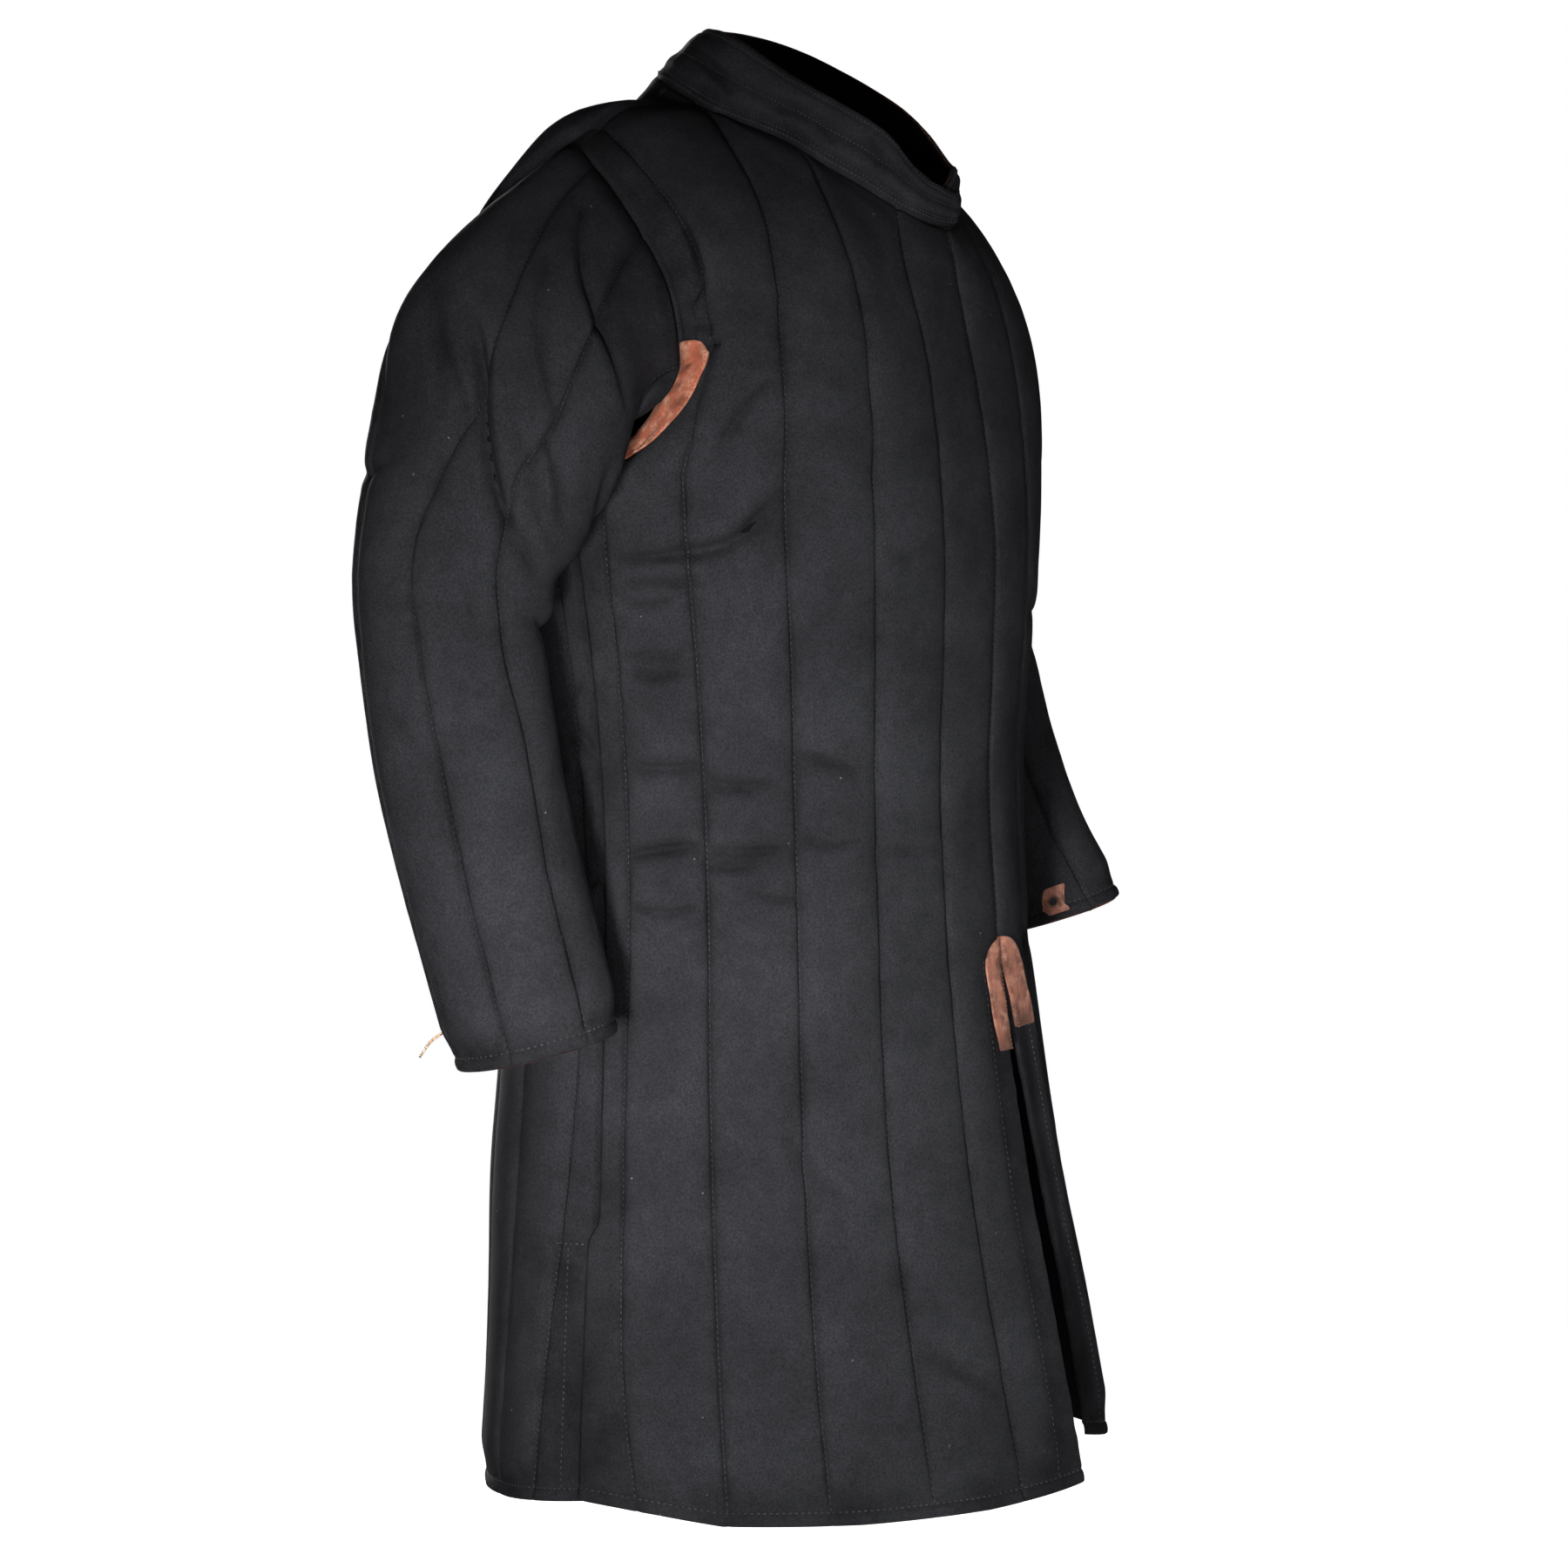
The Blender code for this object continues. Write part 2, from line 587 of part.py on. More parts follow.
def arm_rings(side):
    """Rings down the arm from the first station to the cuff, and the arm's direction at the first."""
    stations = np.asarray(STATIONS)
    y, z = (1, 3) if side == "right" else (2, 4)
    centres = np.stack([-stations[:, 0], stations[:, y], stations[:, z]], -1)
    along = lengths(centres)
    last = along[-1]
    rows = np.append(np.linspace(0.0, last - HEM_BAND, SLEEVE_ARM_ROWS), last)
    centre = spline(along, centres, rows)
    halves = spline(along, stations[:, 5:7], rows)
    toward = unit(np.gradient(centre, rows, axis=0))
    toward[-2:] = toward[-3]
    forward = np.array([0.0, -1.0, 0.0]) - toward * toward[:, 1:2] * -1.0
    forward = unit(forward)
    outward = np.cross(toward, forward)
    outward *= -np.sign(outward[:, :1])
    turn = np.radians(SLEEVE_LINE_ANGLE + np.linspace(0.0, 360.0, SLEEVE_CHANNELS * CHANNEL_SEGMENTS + 1))
    across = np.cos(turn)[None, :, None] * halves[:, 1][:, None, None] * outward[:, None, :]
    across = across + np.sin(turn)[None, :, None] * halves[:, 0][:, None, None] * forward[:, None, :]
    return centre[:, None, :] + across, toward[0]


def sleeve(side):
    """Outer and inner points of a sleeve, rows from the armhole down, columns round the arm."""
    head = sleeve_head()
    rings, direction = arm_rings(side)
    n_head = armhole_normal(head)
    leave = np.array([-1.0, 0.0, -0.45])
    leave = unit(leave - n_head * np.sum(leave * n_head, -1, keepdims=True))
    reach = np.linalg.norm(rings[0] - head, axis=-1, keepdims=True)
    ring = len(head) - 1
    from_top = (np.arange(len(head)) + ring / 2) % ring - ring / 2 + CAP_FULL_PAST_LINE
    full = CAP_FULLNESS * np.exp(-((from_top / CAP_FULL_COLUMNS) ** 2))[:, None] * unit(np.array(CAP_FULL_WAY))
    cap = []
    for t in np.linspace(0.0, 1.0, SLEEVE_CAP_ROWS + 1)[:-1]:
        cap.append(
            head * (2 * t**3 - 3 * t**2 + 1)
            + leave * reach * 1.05 * (t**3 - 2 * t**2 + t)
            + rings[0] * (3 * t**2 - 2 * t**3)
            + direction * reach * 1.05 * (t**3 - t**2)
            + full * math.sin(math.pi * t**CAP_FULL_EASE)
        )
    grid = np.concatenate([np.array(cap), rings])
    wrapped = np.concatenate([grid[:, -2:-1], grid, grid[:, 1:2]], axis=1)
    middle = grid[:, :-1].mean(axis=1, keepdims=True)
    n = normals_of(wrapped, middle)[:, 1:-1]
    third = SLEEVE_CHANNELS // 3 * CHANNEL_SEGMENTS
    sewn = np.r_[0 : third + 1, 2 * third : 3 * third + 1]
    n[0, sewn] = n_head[sewn]
    loft = LOFT * np.tile(channel_loft(grid.shape[1]), (len(grid), 1))
    loft[-2:] = 0.0
    loft[0] *= 0.3
    share = lengths(grid.mean(axis=1))
    share = share / share[-1]
    angle = np.linspace(0.0, 360.0, grid.shape[1]) + SLEEVE_LINE_ANGLE
    for where, centre, half_width, deep in ELBOW_FOLDS:
        reach = np.clip(1.0 - ((angle - centre) / half_width) ** 2, 0.0, 1.0)
        grid = grid - n * (deep * np.exp(-(((share - where) / ELBOW_FOLD_SHARE) ** 2))[:, None] * reach)[..., None]
    outer = (grid + n * loft[..., None])[:, :-1]
    inner = (grid - n * WALL)[:, :-1][:, ::INNER_STEP]
    return mirrored(outer, side), mirrored(inner, side), mirrored(n[:, :-1], side)


def collar():
    """Outer and inner points of the collar, columns from its right end round the back to its left."""
    neck_columns = 3 * CHANNEL_SEGMENTS + 1
    behind = crown_edge("back")[: neck_columns - 1][::-1]
    joined = np.concatenate([crown_edge("front")[:neck_columns], behind])
    forward = (NECK_CENTRE_Y - joined[:, 1]) / NECK_HALF_DEPTH
    right = np.degrees(np.arctan2(-joined[:, 0] / NECK_HALF_WIDTH, forward))
    right = np.concatenate([[-right[1], -right[1] / 2.0], right])
    left = right[:-1][::-1]
    spread = COLLAR_STEP * (1.0 - smooth(np.abs(np.concatenate([right, left])) / 40.0))
    spread[len(right) :] = 0.0
    edge = np.concatenate([neck_point(right), mirrored(neck_point(left), "left")])
    rim = np.concatenate([neck_point(right, True, "right"), mirrored(neck_point(left, True, "left"), "left")])
    n_edge = neck_normal(edge)
    up = unit(np.array([0.0, 0.0, 1.0]) - n_edge * n_edge[:, 2:3])
    rise = np.full((len(edge), 1), JOIN_GAP)
    rise[[0, 1, -2, -1]] += COLLAR_LAP_RISE
    edge = edge + up * rise + n_edge * spread[:, None]
    outward = unit((rim - np.array([0.0, RIM_CENTRE_Y, 0.0])) * np.array([1.0, 1.0, 0.0]))
    rim = rim + outward * spread[:, None]
    grid = []
    for share, _ in COLLAR_ROWS:
        bulge = 0.0025 * math.sin(math.pi * share)
        grid.append(edge * (1.0 - share) + rim * share + outward * bulge)
    grid = np.array(grid)
    axis = np.zeros_like(grid)
    axis[..., 1] = RIM_CENTRE_Y
    axis[..., 2] = grid[..., 2] - 0.02
    n = normals_of(grid, axis)
    n[0] = n_edge
    loft = COLLAR_LOFT * np.array([height for _, height in COLLAR_ROWS])[:, None]
    from_left_end = np.arange(len(edge))[::-1]
    loft = loft * np.clip(np.minimum(np.arange(len(edge)) / 2.0, (from_left_end - 3) / 2.0), 0.0, 1.0)
    return grid + n * loft[..., None], (grid - n * COLLAR_WALL)[:, ::INNER_STEP], n


# ---------------------------------------------------------------- meshes
def material(name):
    made = bpy.data.materials.get(name)
    if made is None:
        made = bpy.data.materials.new(name)
        made.use_nodes = True
        shader = made.node_tree.nodes["Principled BSDF"]
        shader.inputs["Base Color"].default_value = (*COLORS[name], 1.0)
        shader.inputs["Roughness"].default_value = 0.9
        shader.inputs["Metallic"].default_value = 0.0
    return made


def add_object(name, points, faces, finish):
    mesh = bpy.data.meshes.new(name)
    mesh.from_pydata([tuple(p) for p in points], [], faces)
    work = bmesh.new()
    work.from_mesh(mesh)
    bmesh.ops.recalc_face_normals(work, faces=work.faces)
    work.to_mesh(mesh)
    work.free()
    mesh.shade_smooth()
    mesh.set_sharp_from_angle(angle=math.radians(24))
    mesh.materials.append(material(finish))
    part = bpy.data.objects.new(name, mesh)
    bpy.context.collection.objects.link(part)
    return part


def shell(name, outer, inner, finish, closed=False):
    """A wall between a grid of outer points and a coarser one of inner points, closed at its edges."""
    rows, columns = outer.shape[:2]
    inner_columns = inner.shape[1]
    first_inner = rows * columns

    def out(r, c):
        return r * columns + (c % columns if closed else c)

    def within(r, c):
        return first_inner + r * inner_columns + (c % inner_columns if closed else c)

    spans = columns if closed else columns - 1
    inner_spans = inner_columns if closed else inner_columns - 1
    faces = []
    for r in range(rows - 1):
        faces += [(out(r, c), out(r, c + 1), out(r + 1, c + 1), out(r + 1, c)) for c in range(spans)]
        faces += [
            (within(r, c), within(r + 1, c), within(r + 1, c + 1), within(r, c + 1))
            for c in range(inner_spans)
        ]
    for r, turned in ((0, 1), (rows - 1, -1)):
        for c in range(inner_spans):
            a, b, d = (out(r, c * INNER_STEP + k) for k in range(3))
            p, q = within(r, c), within(r, c + 1)
            faces += [face[::turned] for face in ((b, a, p), (b, p, q), (b, q, d))]
    if not closed:
        for r in range(rows - 1):
            faces.append((out(r, 0), out(r + 1, 0), within(r + 1, 0), within(r, 0)))
            last, inner_last = columns - 1, inner_columns - 1
            faces.append((out(r + 1, last), out(r, last), within(r, inner_last), within(r + 1, inner_last)))
    points = np.concatenate([outer.reshape(-1, 3), inner.reshape(-1, 3)])
    return add_object(name, points, faces, finish)


def thickened(name, upper, lower, faces, finish):
    """A plate between upper and lower points, with a rim wherever a face has no neighbour."""
    count = len(upper)
    sides = {}
    for face in faces:
        for a, b in zip(face, face[1:] + face[:1]):
            sides[(a, b)] = True
    rim = [(b, a, a + count, b + count) for a, b in sides if (b, a) not in sides]
    under = [tuple(k + count for k in reversed(face)) for face in faces]
    return add_object(name, np.concatenate([upper, lower]), list(faces) + under + rim, finish)


# ---------------------------------------------------------------- leather
def chart(outer, normals, origin):
    """Points and normals of a panel by distance along one edge and distance in from it.

    outer and normals run along the edge by row and away from it by column; origin is the row where
    the distance along the edge is zero, and it grows with the rows.
    """
    along = lengths(outer[:, 0])
    along = along - along[origin]

    def find(a, b):
        r = np.interp(a, along, np.arange(len(outer)))
        low = int(min(r, len(outer) - 2))
        found = []
        for row in (low, low + 1):
            c = np.interp(b, lengths(outer[row]), np.arange(outer.shape[1]))
            k = int(min(c, outer.shape[1] - 2))
            f = c - k
            p, n = (grid[row, k] * (1 - f) + grid[row, k + 1] * f for grid in (outer, normals))
            found.append((p, n))
        f = r - low
        (p, n), (q, m) = found
        return p * (1 - f) + q * f, unit(n * (1 - f) + m * f)

    return find


def arch(name, one, other, head, leg, width, foot, finish="suede"):
    """A leather arch over the end of an opening: a round head across the seam and a leg on each side.

    one and other give points of the two panels; head, leg and width are its sizes, and foot is the
    share of the width left at the bottom of each leg.
    """
    turns = np.radians([22, 45, 68, 90])
    rows = [(-head * math.cos(t), width * math.sin(t)) for t in turns]
    rows += [(leg * k / 5, width * (1 - (1 - foot) * (k / 5) ** 1.5)) for k in range(1, 6)]
    shares = (0.0, 0.35, 0.7, 1.0)
    upper, lower, index = [], [], {}
    for r, (a, reach) in enumerate(rows):
        for panel_side, find in ((-1, one), (1, other)):
            for k, share in enumerate(shares):
                if k == 0 and a <= 0.0:
                    if panel_side == 1:
                        index[r, 1, 0] = index[r, -1, 0]
                        continue
                    (p, n), (q, m) = one(a, 0.0), other(a, 0.0)
                    p, n = (p + q) / 2, unit(n + m)
                else:
                    p, n = find(a, LEATHER_INSET + (reach - LEATHER_INSET) * share)
                index[r, panel_side, k] = len(upper)
                upper.append(p + n * (LEATHER_LIFT + LEATHER))
                lower.append(p + n * LEATHER_LIFT)
    faces = []
    for r in range(len(rows) - 1):
        for panel_side in (-1, 1):
            for k in range(len(shares) - 1):
                corners = ((r, k), (r, k + 1), (r + 1, k + 1), (r + 1, k))
                face = tuple(index[row, panel_side, share] for row, share in corners)
                faces.append(face if panel_side == 1 else face[::-1])
    return thickened(name, np.array(upper), np.array(lower), faces, finish)


def tongue(name, find, head, leg, width, foot, finish="suede"):
    """A leather tongue laid along one edge: a round head and a body that narrows toward its foot."""
    turns = np.radians([20, 45, 68, 90])
    half = 0.5 * width
    rows = [(-head * math.cos(t), half * (1 - math.sin(t)), half * (1 + math.sin(t))) for t in turns]
    rows += [(leg * k / 5, 0.0, width * (1 - (1 - foot) * (k / 5) ** 1.3)) for k in range(1, 6)]
    shares = (0.0, 0.33, 0.67, 1.0)
    spots = [(a, start + (end - start) * share) for a, start, end in rows for share in shares]
    found = [find(a, LEATHER_INSET + b) for a, b in spots]
    points, n = np.array([p for p, _ in found]), np.array([m for _, m in found])
    across = len(shares)
    faces = [
        (r * across + k, r * across + k + 1, (r + 1) * across + k + 1, (r + 1) * across + k)
        for r in range(len(rows) - 1)
        for k in range(across - 1)
    ]
    return thickened(name, points + n * (TONGUE_LIFT + LEATHER), points + n * TONGUE_LIFT, faces, finish)


def eyelet_patch(name, find, along, around, finish="suede"):
    """A small leather patch with one round hole, laid on a sleeve beside the cuff."""
    turns = np.linspace(0.0, 2.0 * math.pi, EYELET_SIDES, endpoint=False)
    edge = 2.0 * np.maximum(np.abs(np.cos(turns)) / PATCH_LENGTH, np.abs(np.sin(turns)) / PATCH_WIDTH)
    found = []
    for share in (0.0, 0.5, 1.0):
        radii = EYELET_RADIUS + (0.94 / edge - EYELET_RADIUS) * share
        found += [find(along + r * math.cos(t), around + r * math.sin(t)) for r, t in zip(radii, turns)]
    points, n = np.array([p for p, _ in found]), np.array([m for _, m in found])
    faces = []
    for ring in range(2):
        for k in range(EYELET_SIDES):
            a, b = ring * EYELET_SIDES + k, ring * EYELET_SIDES + (k + 1) % EYELET_SIDES
            faces.append((a, b, b + EYELET_SIDES, a + EYELET_SIDES))
    return thickened(name, points + n * (LEATHER_LIFT + LEATHER), points + n * LEATHER_LIFT, faces, finish)


def thong(name, path, flat, finish="thong_leather"):
    """A leather thong of oblong section along a path; flat is the way its broad side faces."""
    path = dense(path, 26)
    toward = unit(np.gradient(path, axis=0))
    broad = unit(np.cross(toward, np.array(flat)))
    thin = np.cross(toward, broad)
    turns = np.radians([30, 90, 150, 210, 270, 330])
    across = np.cos(turns)[None, :, None] * broad[:, None] * LACE_WIDTH / math.sqrt(3.0)
    rings = path[:, None] + across + np.sin(turns)[None, :, None] * thin[:, None] * LACE_THICKNESS / 2.0
    count = len(turns)
    faces = [
        (r * count + k, r * count + (k + 1) % count, (r + 1) * count + (k + 1) % count, (r + 1) * count + k)
        for r in range(len(path) - 1)
        for k in range(count)
    ]
    faces += [tuple(range(count))[::-1], tuple((len(path) - 1) * count + k for k in range(count))]
    return add_object(name, rings.reshape(-1, 3), faces, finish)


def remove_scene_objects():
    for thing in list(bpy.data.objects):
        bpy.data.objects.remove(thing, do_unlink=True)


def build():
    remove_scene_objects()
    grids = {}
    for side in ("right", "left"):
        outer, inner, n = panel("front", side)
        shell(f"front_{side}", outer, inner, "quilted_cotton")
        grids["front", side] = outer, n
    (outer_right, inner_right, _), (outer_left, inner_left, _) = panel("back", "right"), panel("back", "left")
    outer = np.concatenate([outer_right[:, ::-1], outer_left[:, 1:]], axis=1)
    inner = np.concatenate([inner_right[:, ::-1], inner_left[:, 1:]], axis=1)
    shell("back", outer, inner, "quilted_cotton")
    outer, inner, _ = collar()
    shell("collar", outer, inner, "quilted_cotton")
    for side in ("right", "left"):
        outer, inner, n = sleeve(side)
        shell(f"sleeve_{side}", outer, inner, "quilted_cotton", closed=True)
        grids["sleeve", side] = outer, n

    fronts = []
    for side in ("right", "left"):
        outer, n = grids["front", side]
        top = int(np.argmin(np.abs(outer[:, 0, 2] - SLIT_TOP_Z)))
        fronts.append(chart(outer[::-1], n[::-1], len(outer) - 1 - top))
    arch("slit_leather", *fronts, head=0.016, leg=0.054, width=0.022, foot=0.75)

    for side in ("right", "left"):
        outer, n = grids["front", side]
        under = len(outer) - 1 - SEAM_EDGE_ROWS - FREE_EDGE_ROWS
        body = chart(outer[under:, ::-1][::-1], n[under:, ::-1][::-1], SEAM_EDGE_ROWS)
        tongue(f"armpit_leather_{side}", body, head=0.019, leg=0.056, width=0.021, foot=0.35)

        outer, n = grids["sleeve", side]
        medial = slice(PATCH_COLUMN - 5, PATCH_COLUMN + 6)
        cuff = chart(outer[::-1][:8, medial], n[::-1][:8, medial], 0)
        around = lengths(outer[-1, medial])[5]
        eyelet_patch(f"cuff_leather_{side}", cuff, PATCH_FROM_CUFF, around)
        if side == "right":
            hole, out = cuff(PATCH_FROM_CUFF, around)
            start = [hole + out * step for step in (0.0016, 0.0045, 0.0065)]
            thong("cuff_lace_right", start + [np.array(p) for p in LACE_PATH], flat=(0.2, 0.1, 1.0))


build()
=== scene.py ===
"""A quilted gambeson in black cotton, with its sewing, suede reinforcements, lace and plain studio.

Metres, +Z up. The front faces -Y, the wearer's right side is -X. Every cloth panel is a grid of
points worked out from named sizes, and its padding, folds and seams are added along its normals.
"""

import math

import bmesh
import bpy
import numpy as np
from mathutils import Matrix


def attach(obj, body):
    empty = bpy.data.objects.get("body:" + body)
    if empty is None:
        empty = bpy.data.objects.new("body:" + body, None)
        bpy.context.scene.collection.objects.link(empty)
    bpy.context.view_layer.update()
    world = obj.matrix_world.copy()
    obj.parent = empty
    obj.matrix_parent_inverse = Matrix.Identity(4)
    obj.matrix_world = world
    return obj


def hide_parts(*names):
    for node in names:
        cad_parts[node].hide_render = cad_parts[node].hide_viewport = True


bl_info = {
    "name": "Quilted gambeson",
    "version": (1, 0, 0),
    "blender": (4, 5, 0),
    "location": "View3D > Sidebar > Gambeson",
    "description": "Builds a quilted gambeson with its sewing, leather and lace on a packed frame",
    "category": "Add Mesh",
}

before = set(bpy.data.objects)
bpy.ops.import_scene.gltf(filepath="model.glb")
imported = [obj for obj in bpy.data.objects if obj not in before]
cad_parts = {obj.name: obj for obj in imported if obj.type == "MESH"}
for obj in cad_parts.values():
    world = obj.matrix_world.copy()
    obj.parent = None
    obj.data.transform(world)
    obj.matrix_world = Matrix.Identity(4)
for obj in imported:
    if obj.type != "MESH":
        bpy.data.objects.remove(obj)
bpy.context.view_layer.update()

SIDES = ("right", "left")

# ---------------------------------------------------------------- the cut, in metres
LOFT = 0.0055  # height of a quilted ridge above its stitch lines
WALL = 0.003  # padded cloth pressed flat along a stitch line
COLLAR_LOFT = 0.0016
HEM_BAND = 0.009
HEM_Z = -0.9
HEM_CURVE_TOP_Z = -0.6
UNDERARM_Z = -0.21
LOWEST_SECTION_Z = -0.945
SECTION_STEP = 0.005  # between the sections that a panel's rows are read off
SLIT_TOP_Z = -0.543
VENT_TOP_Z = -0.715
VENT_LAP = 0.007
VENT_STEP = 0.0034
VENT_EASE = 0.04
COARSE = 4  # columns of the solid to a channel; the cloth here has SEGMENTS
SEGMENTS = {"front": 24, "back": 16, "sleeve": 36, "collar": 16}
ROW_STEP = {"front": 0.0025, "back": 0.0034, "sleeve": 0.0019}
INNER_STEP = 4  # outer columns to one column of the lining
PANEL_CHANNELS = 6  # half a panel's, three of them reaching the neck
NECK_CHANNELS = 3
LIP = 0.0016  # radius of a turned edge
LIP_SINKS = 0.42  # share of the wall by which a turned edge sinks in
RIDGE_SHARE = 0.8  # of the padding's height, once the garment is worn in
SIDE_LOFT = 0.4  # share of its height that the padding keeps in the channel beside the side seam
VENT_LOFT = 0.5  # and the share of that it keeps beside the vent
# How far from the hem, and from the other end, the padding comes up to its full height.
PADDING_RISE = {"panel": (0.024, 0.026), "sleeve": (0.022, 0.022)}
SWELL_SPAN = {"panel": 0.075, "sleeve": 0.06}
SWELL_FADE = 0.02
PUCKER_START = 0.006  # up from the hem
PUCKER_EASE = 0.01
LOFT_CLOUD = (0.11, 3)  # span and seed of the wide clouds that vary the padding's height
LOFT_VARIES = 0.1
SIDE_BLEND = 0.15  # channels over which a panel's edge turns to face as its neighbour does
CENTRE_BLEND = 0.12
# A fold's profile, each part its share of the depth and its half width, counted in the fold's own.
FOLD_TROUGH, FOLD_SKIRT, FOLD_CREST = (0.75, 0.62), (0.35, 1.8), (0.6, 1.8)
FOLD_CREST_PLACE = 2.2
FOLD_POINTS = 22
FOLD_REACH = 7
# Grooves that stitches and seams pull into the cloth: each its depth and its half width.
STITCH_GROOVE = {"panel": (0.0012, 0.0017), "sleeve": (0.0012, 0.0016)}
HEM_GROOVE = {"panel": (0.0009, 0.0013), "sleeve": (0.001, 0.0013)}
HEM_ROLL = {"panel": (0.0005, 0.003), "sleeve": (0.0007, 0.003)}  # the swelling inside the hem
SIDE_SEAM = (0.0024, 0.0024)
CENTRE_SEAM = (0.0012, 0.002)
CROWN_SEAM = (0.0014, 0.0024)
ARMHOLE_SEAM = (0.0028, 0.0026)
COLLAR_SEAM = (0.001, 0.0024)
RIM_GROOVE = (0.0007, 0.0012)
RIM_BAND = 0.006
BLADE_PRESS = 0.02  # how far the back is flattened beside the head of the sleeve
BLADE_PLACE = (-0.165, 0.0)  # x and z of the middle of that hollow
BLADE_REACH = 0.05
PANEL_FOLDS = 2.1  # how much deeper the panels' creases are than their tables say
FOLD_SHARE = 0.3  # share of the wide folds that the listed creases leave
# Rows beside a hem, by distance from it.
EDGE_ROWS = (0.0, 0.0005, 0.0011, 0.0018, 0.0035, 0.0055, 0.0072, 0.0083, 0.009, 0.0097, 0.0108, 0.0126)

COLLAR_CORNER_TURN = 26.0  # degrees over which the collar's hidden left end drops away
COLLAR_CORNER_DROP = 0.016
SLIT_STITCH_INSET = 0.025  # from the slit's edge to the stitch line beside it
VENT_STITCH_INSET = 0.022
CENTRE_STITCH_INSET = 0.0028
COLLAR_STITCH_SHARES = (0.085, 0.15, 0.525, 0.905)
COLLAR_STITCH = 0.7  # size of a stitch in the collar, as a share of one in the panels
SLIT_HEAD = 0.018  # how far the slit's leather reaches up past the slit
# Columns: side, length of its leg, width at the top, share of the width left at the foot.
SLIT_LEGS = {"right": (0.06, 0.026, 0.72), "left": (0.05, 0.032, 1.0)}
# The armpit suede. Columns: down the armhole's free edge, from and to, in from that edge.
ARMPIT_LEATHER = (
    (-0.017, 0.0, 0.0095),
    (-0.016, -0.004, 0.015),
    (-0.0135, -0.008, 0.0205),
    (-0.009, -0.01, 0.0248),
    (-0.003, -0.0115, 0.0276),
    (0.005, -0.012, 0.03),
    (0.016, -0.012, 0.0325),
    (0.028, -0.011, 0.034),
    (0.042, -0.008, 0.0345),
    (0.058, -0.004, 0.034),
    (0.074, 0.001, 0.0325),
    (0.088, 0.007, 0.029),
    (0.097, 0.013, 0.025),
    (0.102, 0.019, 0.0215),
)
LEATHER_STITCH = 0.7  # size of a stitch in the suede, as a share of one in the cloth
ARMPIT_OVERHANG = 0.03  # how far past the edge the chart of the armpit leather reaches
# Marks on the armpit suede. Columns: down from its top corner, in from the edge, size, depth.
ARMPIT_MARKS = (
    (0.004, 0.0135, 0.005, 1.0),
    (0.008, 0.0115, 0.0042, 1.0),
    (0.019, 0.0125, 0.006, 0.9),
    (0.023, 0.009, 0.005, 0.8),
    (0.033, 0.013, 0.006, 0.55),
    (0.0375, 0.019, 0.006, 0.55),
    (0.0405, 0.025, 0.0056, 0.5),
    (-0.008, 0.008, 0.0095, 0.45),
    (-0.002, 0.02, 0.0085, 0.38),
    (0.011, 0.024, 0.0075, 0.3),
)

CAMERA_PLACE = (-2.8424, -1.4483, -0.1759)
CAMERA_TARGET = (0.0, 0.0, -0.427)
CAMERA_LENS = 104.92
CAMERA_SHIFT = 0.001667
FLOOR_Z = -1.6
FLOOR_SIDES = 96
FLOOR_RADII = (0.02, 1.0, 3.0, 8.0, 30.0)
PAPER = ("#6c6c6c", "#707070")
FLOOR_GLOW = 1.0  # what the camera sees of the floor, but no other ray, so that it is plain white
AMBIENT = 0.012  # strength of the white world to every ray but the camera's own
# Columns: name, place, what it is aimed at, size, spread in degrees, watts.
LAMPS = (
    ("softbox with a grid, beside the camera", (-2.92, -1.06, -0.6), (-0.15, -0.05, -0.54), 0.3, 28.0, 3.1),
    ("low softbox", (-2.7, -1.88, -1.2), (0.0, 0.0, -0.427), 0.6, 180.0, 6.2),
    ("softbox level with the waist", (-1.95, -1.06, -0.8), (0.0, 0.0, -0.427), 0.5, 180.0, 9.6),
    ("lamp above the camera", (-2.8, -1.7, 0.5), (0.0, 0.0, -0.427), 1.2, 180.0, 4.0),
    ("softbox on the far side", (1.5, -3.2, -0.8), (0.0, 0.0, -0.427), 1.2, 180.0, 19.0),
    ("softbox behind", (2.5, 2.1, -0.1), (0.0, 0.0, -0.427), 2.0, 180.0, 220.0),
)

NECK_CENTRE_Y = -0.019
NECK_HALF_WIDTH = 0.0875
NECK_HALF_DEPTH = 0.108
RIM_CENTRE_Y = -0.039
RIM_HALF_WIDTH = 0.071
RIM_HALF_DEPTH = 0.088

LEATHER_INSET = 0.0012  # from a panel's edge to the suede laid along it
LEATHER = 0.0018  # thickness of the suede
LEATHER_LIFT = 0.0009  # from a panel's outer points to the suede laid on them
TONGUE_LIFT = 0.0014
SLIT_SEWING = (0.0026, 0.0038)  # in from the suede's outer edge, and from the edge of the slit
ARMPIT_SEWING = (0.0022, 0.0024)  # in from the suede's edge beside the armpit, and from its other edge
PATCH_SEWING = 0.002
LACE_WIDTH = 0.0034
LACE_THICKNESS = 0.0022
LACE_TAPER_FROM = 0.72  # share of its length at which the lace starts to narrow
LACE_TAPER = 0.62  # share of its width that it loses by its end
PATCH_LENGTH = 0.022
PATCH_WIDTH = 0.018
PATCH_FROM_CUFF = 0.0145
PATCH_COLUMN = 10  # sleeve column the eyelet patch is centred on, on the side toward the body
EYELET_RADIUS = 0.0027
PATCH_SHARE = 0.94  # of the patch's solid that the cut suede covers
# The right cuff's thong from its eyelet round the back of the cuff to its free end.
LACE_PATH = (
    (-0.254, 0.052, -0.56),
    (-0.257, 0.076, -0.562),
    (-0.264, 0.096, -0.566),
    (-0.268, 0.111, -0.575),
    (-0.269, 0.124, -0.584),
    (-0.268, 0.133, -0.595),
)

